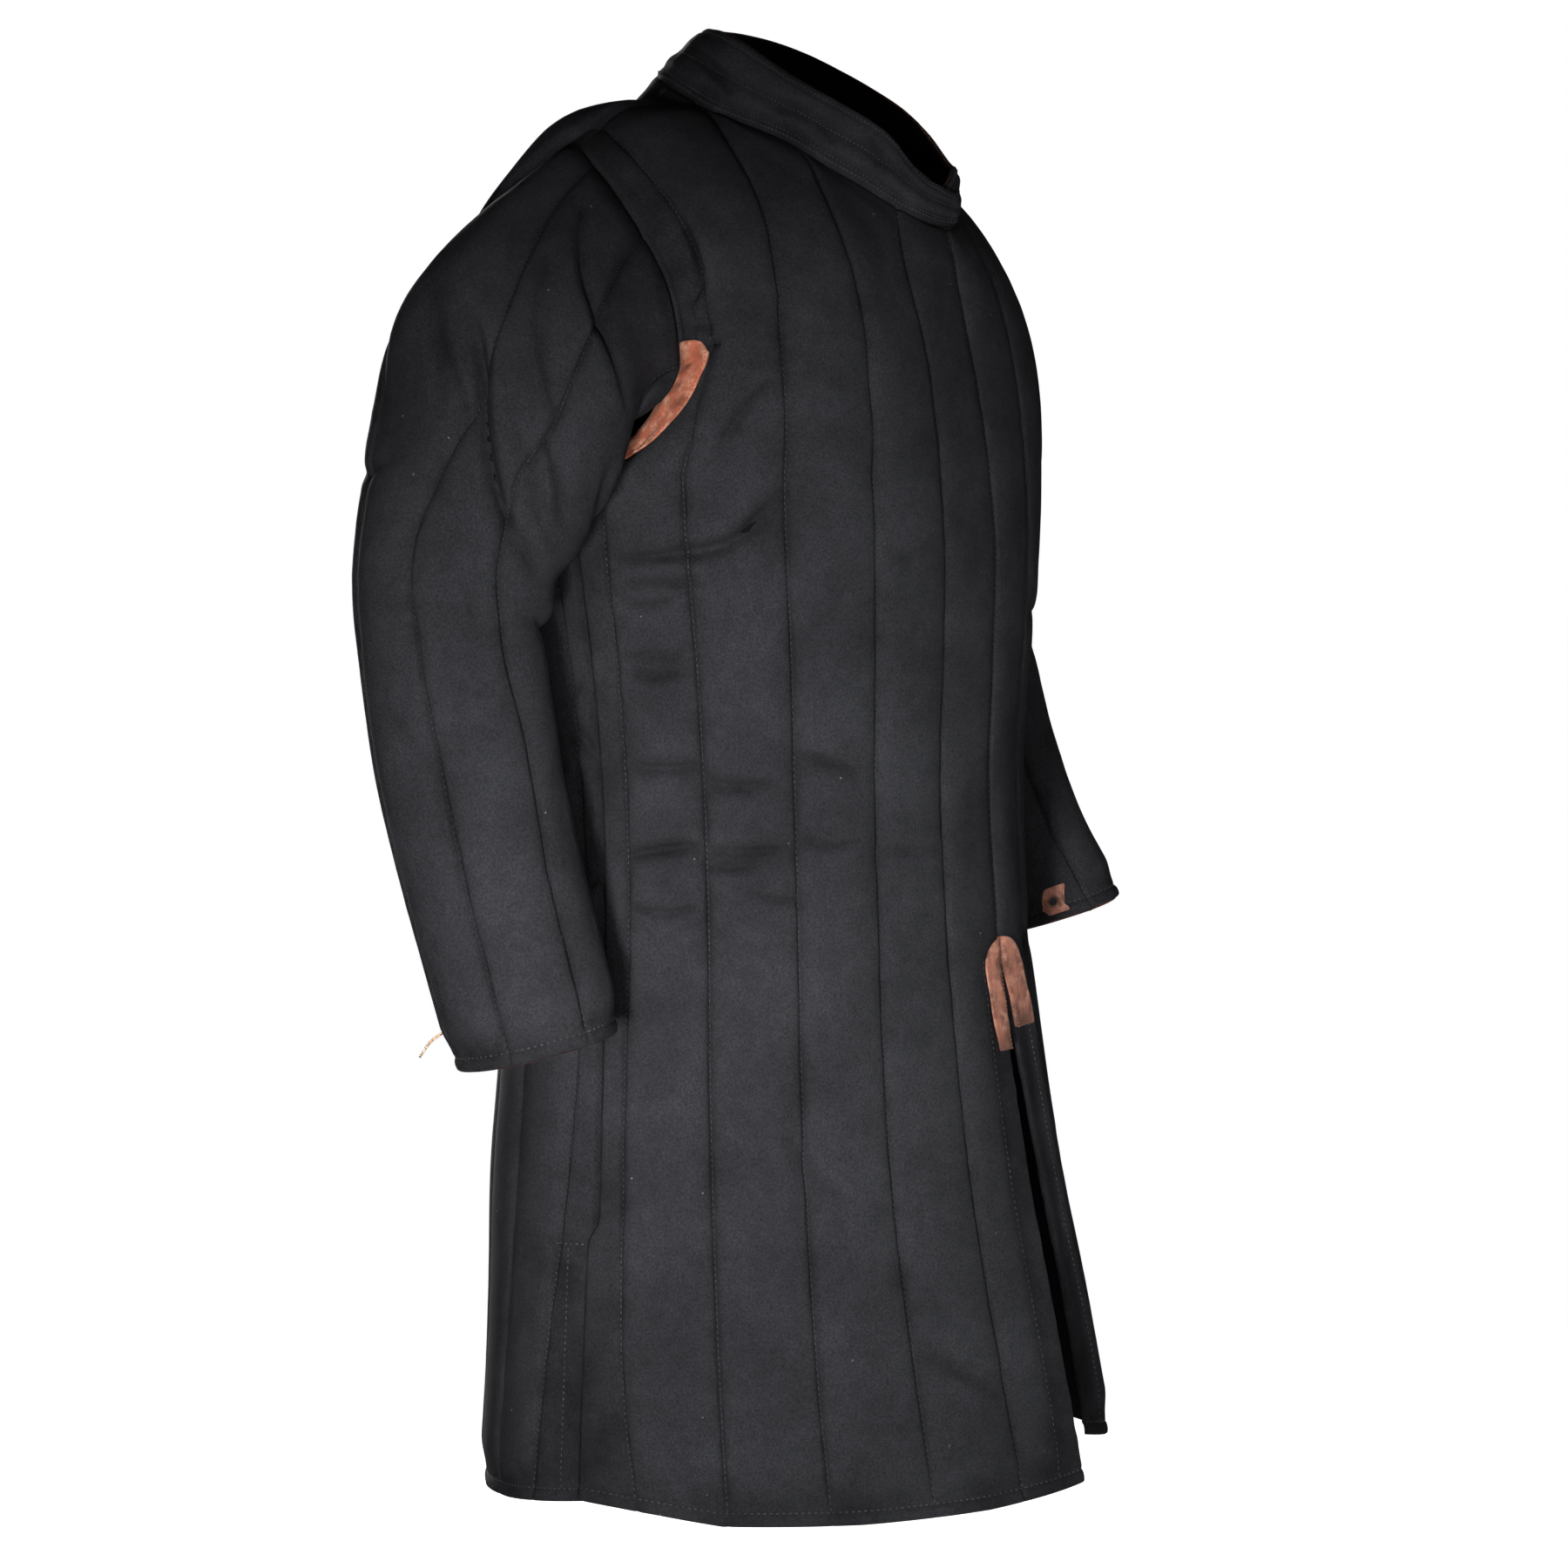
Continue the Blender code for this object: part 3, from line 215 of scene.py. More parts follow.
# Sections below the underarm. half_width at the side seam, front and back depth from the body's
# axis, how far back the side seam lies, and the power of each curve (2 is an ellipse, more is boxier).
# Columns: z, half_width, front, back, seam_y, front_power, back_power.
SECTIONS = (
    (-0.93, 0.246, 0.241, 0.19, 0.022, 1.75, 2.0),
    (-0.8, 0.244, 0.213, 0.183, 0.017, 1.66, 2.0),
    (-0.7, 0.241, 0.191, 0.178, 0.014, 1.62, 2.05),
    (-0.6, 0.234, 0.174, 0.168, 0.015, 1.68, 2.1),
    (-0.5, 0.226, 0.163, 0.155, 0.017, 1.8, 2.2),
    (-0.42, 0.224, 0.158, 0.148, 0.02, 1.88, 2.3),
    (-0.33, 0.228, 0.161, 0.145, 0.026, 2.0, 2.3),
    (-0.25, 0.232, 0.162, 0.147, 0.034, 2.2, 2.4),
    (-0.21, 0.233, 0.158, 0.149, 0.036, 2.4, 2.5),
)

# Where the stitch lines run: share of the way from the centre line to the side seam, at each height.
# Columns: z, line1, line2, line3, line4, line5.
FRONT_LINES = (
    (-0.93, 0.165, 0.355, 0.55, 0.735, 0.885),
    (-0.8, 0.185, 0.375, 0.57, 0.755, 0.935),
    (-0.7, 0.19, 0.385, 0.575, 0.765, 0.945),
    (-0.45, 0.19, 0.382, 0.577, 0.772, 0.94),
    (-0.21, 0.196, 0.39, 0.582, 0.775, 0.935),
)
BACK_LINES = (
    (-0.93, 0.17, 0.345, 0.52, 0.69, 0.84),
    (-0.8, 0.18, 0.36, 0.545, 0.725, 0.875),
    (-0.7, 0.185, 0.37, 0.56, 0.75, 0.915),
    (-0.6, 0.19, 0.38, 0.57, 0.765, 0.94),
    (-0.21, 0.195, 0.39, 0.585, 0.775, 0.94),
)

# Height of the hem, by share of the way from the centre line to the side seam.
# Columns: share, front, back.
HEM = (
    (0.0, -0.889, -0.911),
    (0.25, -0.896, -0.91),
    (0.5, -0.899, -0.906),
    (0.75, -0.899, -0.898),
    (1.0, -0.886, -0.888),
)

# How far each corner of the front slit stands away from the centre line at the hem.
# Columns: side, apart, forward, lift, ease, ease of the forward part.
FLAPS = {"right": (0.046, 0.022, 0.003, 1.2, 0.8), "left": (0.067, -0.026, 0.008, 0.7, 1.6)}

COLLAR_LAP_RISE = 0.0008  # how far the lapped ends stand above the neck edge of the other side
COLLAR_STEP = 0.004  # how far the right end stands outside the neck edge, over the left end
COLLAR_WALL = 0.003
COLLAR_STEP_TURN = 40.0  # degrees over which the right end comes in to the neck edge
COLLAR_BOW = 0.0025  # how far the collar bows outward between its edge and its rim
# The collar's quilting. Columns: share of its height, loft as a share of COLLAR_LOFT.
COLLAR_ROWS = (
    (0.0, 0.0),
    (0.07, 0.5),
    (0.15, 0.0),
    (0.33, 1.0),
    (0.52, 0.0),
    (0.74, 1.0),
    (0.93, 0.5),
    (1.0, 0.0),
)

# Height of the neck edge and of the collar's rim, by angle from centre front.
# Columns: angle, edge, rim_right, rim_left.
NECK = (
    (0, -0.043, -0.019, 0.0),
    (12, -0.0415, -0.014, 0.0),
    (22, -0.0365, -0.008, 0.001),
    (30, -0.031, 0.002, 0.002),
    (38, -0.024, 0.015, 0.005),
    (48, -0.014, 0.026, 0.013),
    (60, -0.0025, 0.0365, 0.027),
    (75, 0.014, 0.049, 0.044),
    (90, 0.025, 0.062, 0.0575),
    (105, 0.0345, 0.076, 0.0705),
    (123, 0.049, 0.089, 0.084),
    (141, 0.06, 0.0945, 0.093),
    (158, 0.065, 0.097, 0.097),
    (180, 0.0665, 0.098, 0.098),
)
SHOULDER_NECK_ANGLE = 112  # where the shoulder seam meets the neck
SHOULDER_MIDDLE = (-0.132, 0.05, 0.035)
SHOULDER_FACING = (-0.22, 0.0, 0.975)
NECK_TILT = 0.75  # how far up the cloth faces at the neck edge, for each 1 outward
ARMHOLE_TILT = 0.35  # how far sideways the cloth faces at the armhole, for each 1 away from its middle
ARMHOLE_CENTRE = (0.036, -0.095)  # y and z of the middle of the armhole

# Right armhole. The seam runs from the front end of the armpit opening over the shoulder to its
# back end; below those ends the panels have one free edge and the sleeve another.
# Columns: x, y, z.
ARMHOLE_FRONT = (
    (-0.208, -0.033, -0.138),
    (-0.207, -0.03, -0.11),
    (-0.206, -0.023, -0.085),
    (-0.203, -0.008, -0.06),
    (-0.1975, 0.014, -0.034),
    (-0.189, 0.038, -0.01),
    (-0.178, 0.06, 0.008),
)
ARMHOLE_BACK = (
    (-0.178, 0.06, 0.008),
    (-0.186, 0.082, -0.012),
    (-0.194, 0.097, -0.04),
    (-0.201, 0.106, -0.08),
    (-0.205, 0.107, -0.11),
    (-0.208, 0.104, -0.136),
)
PANEL_FREE_FRONT = (
    (-0.208, -0.033, -0.138),
    (-0.214, -0.017, -0.168),
    (-0.225, 0.008, -0.196),
    (-0.234, 0.036, -0.21),
)
PANEL_FREE_BACK = (
    (-0.208, 0.104, -0.136),
    (-0.214, 0.093, -0.168),
    (-0.225, 0.068, -0.196),
    (-0.234, 0.036, -0.21),
)
SLEEVE_FREE = (
    (-0.208, -0.033, -0.138),
    (-0.2215, -0.031, -0.155),
    (-0.231, -0.01, -0.173),
    (-0.232, 0.03, -0.18),
    (-0.227, 0.07, -0.173),
    (-0.217, 0.094, -0.155),
    (-0.208, 0.104, -0.136),
)
ARMHOLE_LINES = (0.0, 0.235, 0.465, 0.695, 0.912, 0.958, 1.0)  # shares of the lines beside the armhole
# Shares of the way up the armhole at which the lines are spaced as below it, twice as in
# ARMHOLE_LINES, and as along the top.
ARMHOLE_CLIMB = (0.0, 0.34, 0.7, 1.0)
ARMHOLE_PRESS = 0.8  # share of its height that the padding loses beside the armhole
HELD_FROM = 2.75  # lines from the centre to where the panel starts to draw in round the armhole
SLEEVE_HEAD_STEPS_BACK = 7  # the first stitch line starts one such part down the back of the armhole

# Sleeve stations down the arm, for the right side mirrored to -X. y_right and y_left differ because
# the left arm is bent a little further forward.
# Columns: x, y_right, y_left, z_right, z_left, half_depth, half_width.
STATIONS = (
    (0.294, 0.057, 0.051, -0.186, -0.182, 0.087, 0.053),
    (0.311, 0.064, 0.047, -0.232, -0.226, 0.077, 0.052),
    (0.322, 0.071, 0.04, -0.278, -0.27, 0.066, 0.052),
    (0.328, 0.069, 0.03, -0.325, -0.316, 0.059, 0.051),
    (0.33, 0.059, 0.014, -0.388, -0.375, 0.058, 0.05),
    (0.327, 0.045, -0.005, -0.452, -0.434, 0.057, 0.049),
    (0.319, 0.03, -0.034, -0.52, -0.495, 0.056, 0.048),
    (0.312, 0.017, -0.069, -0.578, -0.547, 0.055, 0.048),
)
SLEEVE_CHANNELS = 6
SLEEVE_LINE_ANGLE = 8  # degrees forward of straight outward, at the cuff
# How far the cuff's edge lies down the arm from square to it. Columns: side, all round, outer side, front.
CUFF_SLANT = {"right": (0.0, 0.0, 0.0), "left": (-0.001, -0.012, 0.017)}
CUFF_SLANT_REACH = 0.13  # how far up the arm the slant begins
CAP_FULLNESS = 0.021  # how far the sleeve's head swells at the back of the shoulder
CAP_BOW = 1.05  # how strongly the sleeve's head bows out on its way to the arm
CAP_FULL_WAY = (-0.45, 0.85, 0.0)
CAP_FULL_PAST_LINE = 2.6  # columns from the first stitch line back to the middle of the swelling
CAP_FULL_COLUMNS = 3.2
CAP_ROWS = 72
CAP_LEAVE = (-1.0, 0.0, -0.45)  # the way the sleeve leaves the armhole
CAP_FULL_EASE = 1.25  # more than 1 brings the fullest point of the swelling down the arm
# How far the first two stitch lines wander round the arm. Columns: share of the way down, then
# each line's drift in channels.
SLEEVE_DRIFT = (
    (0.0, 0.0, -0.15),
    (0.13, 0.12, -0.2),
    (0.23, 0.05, -0.34),
    (0.32, -0.08, -0.46),
    (0.4, -0.18, -0.34),
    (0.5, -0.06, -0.14),
    (0.62, 0.03, 0.05),
    (0.8, 0.02, 0.0),
    (1.0, 0.0, 0.0),
)
SLEEVE_ARM_ROWS = 16  # rows down the solid's arm, which runs straight over the last

# Which way the cloth runs where each stitch line reaches the neck or the shoulder seam:
# toward the centre, toward the back and up, and how strongly the line bows out on its way there.
# Columns: inward, backward, up, bow.
FRONT_CROWN = (
    (0.0, 0.1, 0.99, 1.0),
    (0.15, 0.4, 0.9, 1.1),
    (0.3, 0.72, 0.62, 1.2),
    (0.35, 0.85, 0.4, 1.3),
    (0.2, 0.93, 0.3, 1.3),
    (0.1, 0.96, 0.25, 1.2),
    (0.05, 0.97, 0.22, 1.2),
)
BACK_CROWN = (
    (0.0, -0.45, 0.9, 1.0),
    (0.05, -0.5, 0.85, 1.0),
    (0.15, -0.75, 0.6, 1.2),
    (0.25, -0.97, 0.0, 1.6),
    (0.1, -0.97, -0.25, 1.8),
    (0.0, -0.97, -0.25, 1.7),
    (-0.05, -0.97, -0.25, 1.6),
)
NECK_SHARES_FRONT = (0.0, 0.24, 0.6, 1.0)  # where lines 0 to 3 meet the neck
NECK_SHARES_BACK = (0.0, 0.34, 0.68, 1.0)
SHOULDER_SHARES = (0.0, 0.76, 0.93, 1.0)  # where line 3, line 4, line 5 and the edge meet the shoulder

# Compression folds across the front: height at the side, share of the panel it runs over, drop along
# it, and depth. Ridges between them stay as they are.
# Columns: z, from_share, to_share, drop, depth, half_height.
FRONT_FOLDS = (
    (-0.262, 0.3, 0.92, -0.055, 0.003, 0.013),
    (-0.335, 0.6, 0.94, -0.004, 0.0022, 0.01),
    (-0.404, 0.28, 0.9, -0.003, 0.003, 0.011),
    (-0.462, 0.22, 0.93, 0.006, 0.0032, 0.011),
    (-0.505, 0.45, 0.93, 0.01, 0.0022, 0.011),
)
ELBOW_FOLD_SHARE = 0.035  # half height of an elbow fold, as a share of the sleeve's length
ELBOW_FOLDS = (  # across the front of the elbow: arm share, angle centre, angle half width, depth
    (0.4, 96, 62, 0.0065),
    (0.49, 104, 48, 0.0045),
)

# ---------------------------------------------------------------- folds listed one by one

# Columns: depth and half width in mm, lean (which side is raised), then each spot as its channel from
# the centre and its height in mm.
FRONT_CREASES = {
    "right": (
        (4.2, 5.8, 0.8, 4.9, -262, 4.1, -260, 3.59, -252, 3.0, -214),
        (2.4, 4.0, 0.7, 4.8, -277, 4.25, -277, 3.8, -280),
        (2.2, 3.6, 0.6, 4.88, -291, 4.53, -293, 4.2, -291),
        (2.6, 4.2, 0.7, 4.9, -327, 4.5, -325, 4.15, -327),
        (2.4, 3.8, -0.6, 4.85, -339, 4.5, -340, 4.2, -337),
        (3.6, 5.2, 0.8, 4.95, -399, 4.5, -400, 4.05, -397),
        (2.8, 4.8, 0.7, 3.98, -409, 3.6, -413, 3.25, -409),
        (2.4, 5.2, 0.7, 2.98, -390, 2.6, -399, 2.2, -405),
        (4.0, 5.2, 0.8, 4.98, -458, 4.5, -453, 4.05, -451),
        (3.0, 4.8, 0.8, 4.0, -453, 3.6, -457, 3.1, -454),
        (2.2, 4.6, 0.6, 3.0, -447, 2.65, -453, 2.25, -450),
        (2.0, 3.6, -0.5, 4.12, -464, 3.8, -467, 3.4, -463),
        (2.8, 4.8, 0.7, 5.0, -492, 4.6, -496, 4.1, -490),
        (2.0, 4.6, 0.6, 3.62, -481, 3.2, -488, 2.8, -485),
        (3.0, 6.5, 0.6, 3.75, -205, 3.5, -172, 3.15, -146),
        (2.2, 9.0, 0.5, 2.0, -785, 1.5, -804, 1.05, -825),
        (1.6, 8.0, 0.5, 3.3, -640, 2.9, -668, 2.55, -690),
        (3.4, 3.6, 0.8, 3.99, -42, 4.02, -66, 4.34, -88, 5.0, -98),
        (2.2, 3.0, 0.6, 5.3, -112, 4.6, -110, 3.9, -116),
        (1.8, 2.8, 0.6, 4.9, -128, 4.3, -124, 3.7, -127),
        (1.6, 4.0, 0.6, 5.4, -300, 5.2, -304, 5.05, -309),
        (1.8, 4.5, 0.6, 5.45, -520, 5.2, -526, 5.02, -520),
        (1.8, 7.5, 0.5, 1.95, -255, 1.55, -262, 1.1, -248),
        (1.6, 6.5, 0.5, 1.9, -455, 1.5, -462, 1.08, -458),
    ),
    "left": (
        (4.0, 6.0, 0.8, 4.92, -255, 4.2, -262, 3.5, -250, 2.95, -222),
        (2.6, 4.2, 0.7, 4.85, -286, 4.35, -283, 3.85, -288),
        (2.8, 4.5, -0.6, 4.92, -334, 4.45, -331, 4.1, -335),
        (3.6, 5.2, 0.8, 4.95, -394, 4.45, -398, 4.02, -391),
        (2.6, 5.0, 0.7, 3.95, -402, 3.55, -406, 3.15, -400),
        (2.2, 5.2, 0.7, 2.95, -414, 2.55, -418, 2.15, -411),
        (3.8, 5.2, 0.8, 4.98, -449, 4.4, -455, 3.9, -449),
        (2.6, 4.6, 0.7, 3.85, -462, 3.45, -466, 3.05, -460),
        (2.0, 5.0, 0.6, 2.9, -470, 2.5, -467, 2.1, -473),
        (2.8, 4.8, 0.7, 5.0, -502, 4.55, -498, 4.1, -504),
        (2.8, 6.5, 0.6, 3.8, -196, 3.45, -176, 3.1, -150),
        (3.2, 3.6, 0.8, 4.02, -46, 4.05, -70, 4.4, -90, 5.0, -101),
        (2.0, 3.0, 0.6, 5.2, -114, 4.5, -112, 3.8, -119),
        (2.0, 8.5, 0.5, 2.6, -640, 2.1, -664, 1.7, -692),
        (1.8, 7.0, 0.5, 1.9, -300, 1.5, -310, 1.1, -303),
        (2.0, 7.0, 0.5, 1.8, -520, 1.3, -535, 0.8, -528),
    ),
}
BACK_CREASES = {
    "right": (
        (3.2, 5.0, 0.8, 5.95, -396, 5.45, -388, 4.95, -378),
        (2.2, 4.5, 0.7, 5.9, -352, 5.5, -347, 5.05, -352),
        (3.4, 6.0, 0.7, 4.9, -402, 4.3, -409, 3.6, -400),
        (2.6, 6.0, 0.6, 3.4, -424, 2.8, -430, 2.2, -420),
        (2.8, 5.5, 0.7, 4.8, -452, 4.2, -447, 3.4, -455),
        (2.4, 6.5, 0.6, 2.0, -392, 1.3, -400, 0.4, -396),
        (2.6, 5.0, 0.7, 5.9, -470, 5.45, -476, 4.95, -470),
        (2.6, 6.5, 0.7, 4.85, -262, 4.3, -278, 3.6, -284),
        (2.6, 7.0, 0.6, 3.9, -180, 3.5, -205, 3.2, -238),
        (2.6, 5.5, 0.7, 5.5, -205, 5.1, -232, 4.4, -246),
        (2.2, 9.0, 0.5, 2.6, -560, 2.1, -590, 1.8, -628),
    ),
    "left": (
        (3.0, 5.0, 0.8, 5.95, -388, 5.4, -395, 4.9, -386),
        (2.4, 4.5, 0.7, 5.92, -431, 5.45, -426, 5.0, -434),
        (3.4, 6.0, 0.7, 4.8, -410, 4.1, -402, 3.5, -412),
        (2.4, 6.0, 0.6, 3.3, -398, 2.7, -404, 2.1, -397),
        (2.8, 5.5, 0.7, 4.9, -468, 4.2, -462, 3.5, -470),
        (2.4, 6.5, 0.6, 1.9, -440, 1.2, -446, 0.4, -438),
        (2.6, 6.5, 0.7, 4.8, -290, 4.2, -276, 3.5, -288),
        (2.4, 7.0, 0.6, 3.8, -196, 3.45, -222, 3.1, -246),
        (2.6, 5.5, 0.7, 5.4, -198, 5.0, -224, 4.3, -240),
        (2.2, 9.0, 0.5, 2.9, -640, 2.4, -668, 2.0, -700),
    ),
}
# Columns: the same, with each spot as its channel round the arm and thousandths of the way down.
SLEEVE_CREASES = {
    "right": (
        (10.0, 4.6, 1.0, -0.16, 165, 0.0, 206, 0.1, 245, 0.27, 300, 0.6, 355, 1.2, 405),
        (4.2, 3.4, 0.8, -0.4, 180, -0.18, 225, 0.02, 262),
        (6.8, 4.2, -0.9, 0.14, 28, 0.36, 68, 0.62, 116, 0.95, 148, 1.38, 196),
        (5.0, 4.8, -0.8, 0.2, 105, 0.38, 171, 0.55, 216, 0.68, 242),
        (5.6, 3.4, -0.9, 0.6, 247, 0.84, 290, 1.1, 345),
        (3.4, 2.8, 0.8, 0.5, 262, 0.68, 305, 0.95, 360),
        (4.4, 3.0, 0.9, 0.64, 335, 0.86, 372, 1.2, 410),
        (4.4, 4.4, 0.8, 1.3, 240, 1.6, 300, 2.2, 330),
        (3.6, 4.4, 0.8, 1.25, 470, 1.7, 485, 2.3, 475),
        (2.6, 3.2, 0.6, 0.42, 598, 0.6, 612, 0.82, 622),
        (2.2, 4.0, -0.7, 0.3, 420, 0.45, 455, 0.52, 500),
        (2.4, 5.0, -0.6, -0.35, 60, -0.1, 100, 0.05, 140),
        (4.0, 7.0, 0.7, 5.4, 120, 5.62, 180, 5.8, 260),
        (3.2, 7.0, 0.7, 4.4, 300, 4.9, 330, 5.4, 318),
        (3.2, 6.5, 0.7, 3.3, 360, 3.9, 372, 4.4, 356),
        (3.2, 6.0, 0.7, 2.6, 430, 3.2, 446, 3.8, 436),
        (2.2, 7.0, 0.6, 5.2, 560, 5.6, 590, 5.9, 640),
        (1.6, 6.0, 0.5, 0.2, 760, 0.5, 790, 0.85, 800),
        (2.0, 6.5, 0.6, 3.6, 700, 4.1, 730, 4.6, 722),
    ),
    "left": (
        (8.0, 7.2, 1.0, -0.05, 180, 0.15, 240, 0.35, 300, 0.7, 350, 1.3, 392),
        (5.8, 6.6, -0.9, 0.25, 50, 0.46, 90, 0.7, 128, 1.1, 170, 1.5, 208),
        (4.8, 6.2, 0.9, 0.25, 130, 0.42, 180, 0.6, 226, 0.78, 270),
        (4.4, 5.0, 0.8, 0.7, 330, 1.05, 380, 1.55, 415),
        (4.2, 6.0, 0.8, 1.3, 250, 1.65, 308, 2.25, 336),
        (3.6, 6.0, 0.8, 1.2, 462, 1.7, 480, 2.3, 470),
        (3.8, 7.0, 0.7, 5.35, 130, 5.6, 190, 5.82, 262),
        (3.2, 7.0, 0.7, 4.3, 310, 4.85, 336, 5.35, 325),
        (3.0, 6.5, 0.7, 3.2, 372, 3.8, 380, 4.4, 366),
        (2.2, 6.0, 0.6, 5.6, 640, 5.85, 668, 6.2, 690),
        (1.8, 6.0, 0.5, 0.1, 820, 0.4, 838, 0.8, 842),
    ),
}
# Columns: the same, with each spot as its angle from centre front (negative on the left half) and
# thousandths of the height.
COLLAR_CREASES = (
    (2.4, 4.0, 0.8, 138, 660, 116, 520, 98, 300),
    (1.6, 3.4, 0.6, 140, 860, 128, 840, 120, 880),
    (2.0, 3.4, 0.7, 86, 220, 82, 450, 78, 700),
    (2.0, 3.4, -0.7, 68, 660, 64, 480, 60, 260),
    (2.4, 3.6, 0.7, 50, 820, 44, 550, 39, 260),
    (2.0, 3.6, 0.7, -62, 750, -68, 500, -74, 240),
    (2.4, 4.0, 0.8, -96, 280, -110, 500, -128, 660),
    (1.8, 4.0, 0.6, 176, 740, 168, 500, 162, 260),
)


# ---------------------------------------------------------------- what a user would change
def linear(colour):
    """A hex sRGB colour as linear red, green, blue and alpha."""
    parts = np.array([int(colour[k : k + 2], 16) for k in (1, 3, 5)]) / 255.0
    parts = np.where(parts <= 0.04045, parts / 12.92, ((parts + 0.055) / 1.055) ** 2.4)
    return (*(float(part) for part in parts), 1.0)


def colour(label, shade, use):
    """A colour in the sidebar, given as hex sRGB."""
    return bpy.props.FloatVectorProperty(
        name=label, description=use, default=linear(shade), subtype="COLOR", size=4, min=0.0, max=1.0
    )


def size(label, millimetres, use):
    """A length in the sidebar, given in millimetres."""
    return bpy.props.FloatProperty(
        name=label, description=use, default=0.001 * millimetres, subtype="DISTANCE", unit="LENGTH",
        min=0.0, precision=4,
    )


class GambesonColours(bpy.types.PropertyGroup):
    """Colours of the cloth, leather and thread"""

    deep: colour("Cloth, deep", "#1f1f21", "Black cotton where it is least faded")
    cloth: colour("Cloth", "#2f2f32", "Black cotton where it is most faded")
    # The crowns are drawn toward this colour by their height: partly wear, partly painted light, which leaves
    # painted shade in the valleys and creases.
    rubbed: colour("Cloth, crowns worn and lit", "#3d3d41", "Crowns of the quilted ridges")
    lint: colour("Lint", "#94948f", "Specks that cling to the cloth")
    lining: colour("Lining", "#101011", "Black cotton inside the garment")
    lining_deep: colour("Lining, deep", "#080809", "Black cotton inside the garment, between its yarns")
    thread: colour("Thread", "#242428", "Quilting thread")
    # Mixed into the stitches in random clouds as a painted highlight, for thread that stands up and catches
    # the light.
    thread_highlight: colour("Thread, painted highlight", "#4d4e55", "Quilting thread painted paler as a highlight where a stitch catches the light")
    suede: colour("Suede", "#c66f54", "Armpit leathers")
    suede_pale: colour("Suede, scuffed", "#e2ac90", "Armpit leathers where they are scuffed")
    suede_dark: colour("Suede, handled", "#98553f", "Armpit leathers where they are handled")
    soiled: colour("Soiled suede", "#ad715e", "Slit and cuff leathers")
    soiled_pale: colour("Soiled suede, scuffed", "#c89680", "Slit and cuff leathers where they are scuffed")
    soiled_dark: colour("Soiled suede, dark", "#714c40", "Slit and cuff leathers where they are most soiled")
    stain: colour("Stain", "#3a241c", "Marks in the suede, and the thread that holds it")
    lace: colour("Lace", "#ecd0b6", "Grain side of the leather lace")
    lace_dark: colour("Lace, edge", "#cf9b74", "Cut edge of the leather lace")
    edging: colour("Edging", "#5a3327", "Russet cord along the cuffs and the collar's rim")
    edging_dark: colour("Edging, dark", "#2c1a17", "Russet cord where it is rubbed down")


class GambesonSizes(bpy.types.PropertyGroup):
    """Sizes of the padding and the sewing"""

    swell: size("Swell", 0.9, "Soft unevenness of the padding inside a channel")
    pucker: size("Pucker", 0.6, "Depth of the gathers along the stitch lines")
    stitch: size("Stitch length", 2.8, "Length of a quilting stitch that shows")
    pitch: size("Stitch pitch", 4.2, "Distance from one quilting stitch to the next")
    thread: size("Thread", 1.0, "Width of a quilting stitch")
    edging: size("Edging", 0.7, "Radius of the cord let in along cuffs and collar")
    suede: size("Suede", 1.8, "Thickness of the suede reinforcements")


# ---------------------------------------------------------------- numbers and curves
def smooth(t):
    """0 to 1 with no corner at either end."""
    t = np.clip(t, 0.0, 1.0)
    return t * t * (3.0 - 2.0 * t)


def unit(vectors):
    """Vectors of the same directions with length 1."""
    return vectors / np.maximum(np.linalg.norm(vectors, axis=-1, keepdims=True), 1e-9)


def hermite(t, start, leave, end, arrive):
    """The cubic curve from start to end that leaves along one vector and arrives along another."""
    return (
        start * (2 * t**3 - 3 * t**2 + 1)
        + leave * (t**3 - 2 * t**2 + t)
        + end * (3 * t**2 - 2 * t**3)
        + arrive * (t**3 - t**2)
    )


def spline(knots, values, at):
    """Values of a smooth curve through (knots, values), each with any number of components."""
    knots = np.asarray(knots, float)
    values = np.asarray(values, float)
    at = np.clip(np.asarray(at, float), knots[0], knots[-1])
    slopes = np.gradient(values, knots, axis=0)
    i = np.clip(np.searchsorted(knots, at, side="right") - 1, 0, len(knots) - 2)
    h = knots[i + 1] - knots[i]
    t = (at - knots[i]) / h
    shape = t.shape + (1,) * (values.ndim - 1)
    t, h = t.reshape(shape), h.reshape(shape)
    return hermite(t, values[i], slopes[i] * h, values[i + 1], slopes[i + 1] * h)


def table(rows, at):
    """A table's other columns at values of its first one."""
    rows = np.asarray(rows, float)
    return spline(rows[:, 0], rows[:, 1:], at)


def lengths(points, axis=0):
    """How far each point lies from the first one, along its own column, or its row for axis 1."""
    steps = np.linalg.norm(np.diff(points, axis=axis), axis=-1)
    return np.insert(np.cumsum(steps, axis=axis), 0, 0.0, axis=axis)


def dense(points, count=200):
    """Many points along the smooth curve through a few."""
    knots = lengths(np.asarray(points, float))
    return spline(knots, points, np.linspace(0.0, knots[-1], count))


def read_off(values, knots, at):
    """Rows of values read off at places between their knots."""
    return np.stack([np.interp(at, knots, column) for column in values.T], axis=-1)


def at_length(points, distance):
    """Points of a polyline at distances along it."""
    return read_off(points, lengths(points), distance)


def spaced(points, count):
    """Points spread evenly along a polyline."""
    return at_length(points, np.linspace(0.0, lengths(points)[-1], count))


def columns_of(channels, segments):
    """Where the columns lie, counted in channels: closer together beside each stitch line."""
    at = np.linspace(0.0, channels, channels * segments + 1)
    return at - 0.105 * np.sin(2.0 * math.pi * at)


def between_lines(values, segments):
    """Values given at the stitch lines, filled in at the columns between them."""
    values = np.asarray(values, float).reshape(len(values), -1)
    return read_off(values, np.arange(len(values)), columns_of(len(values) - 1, segments))


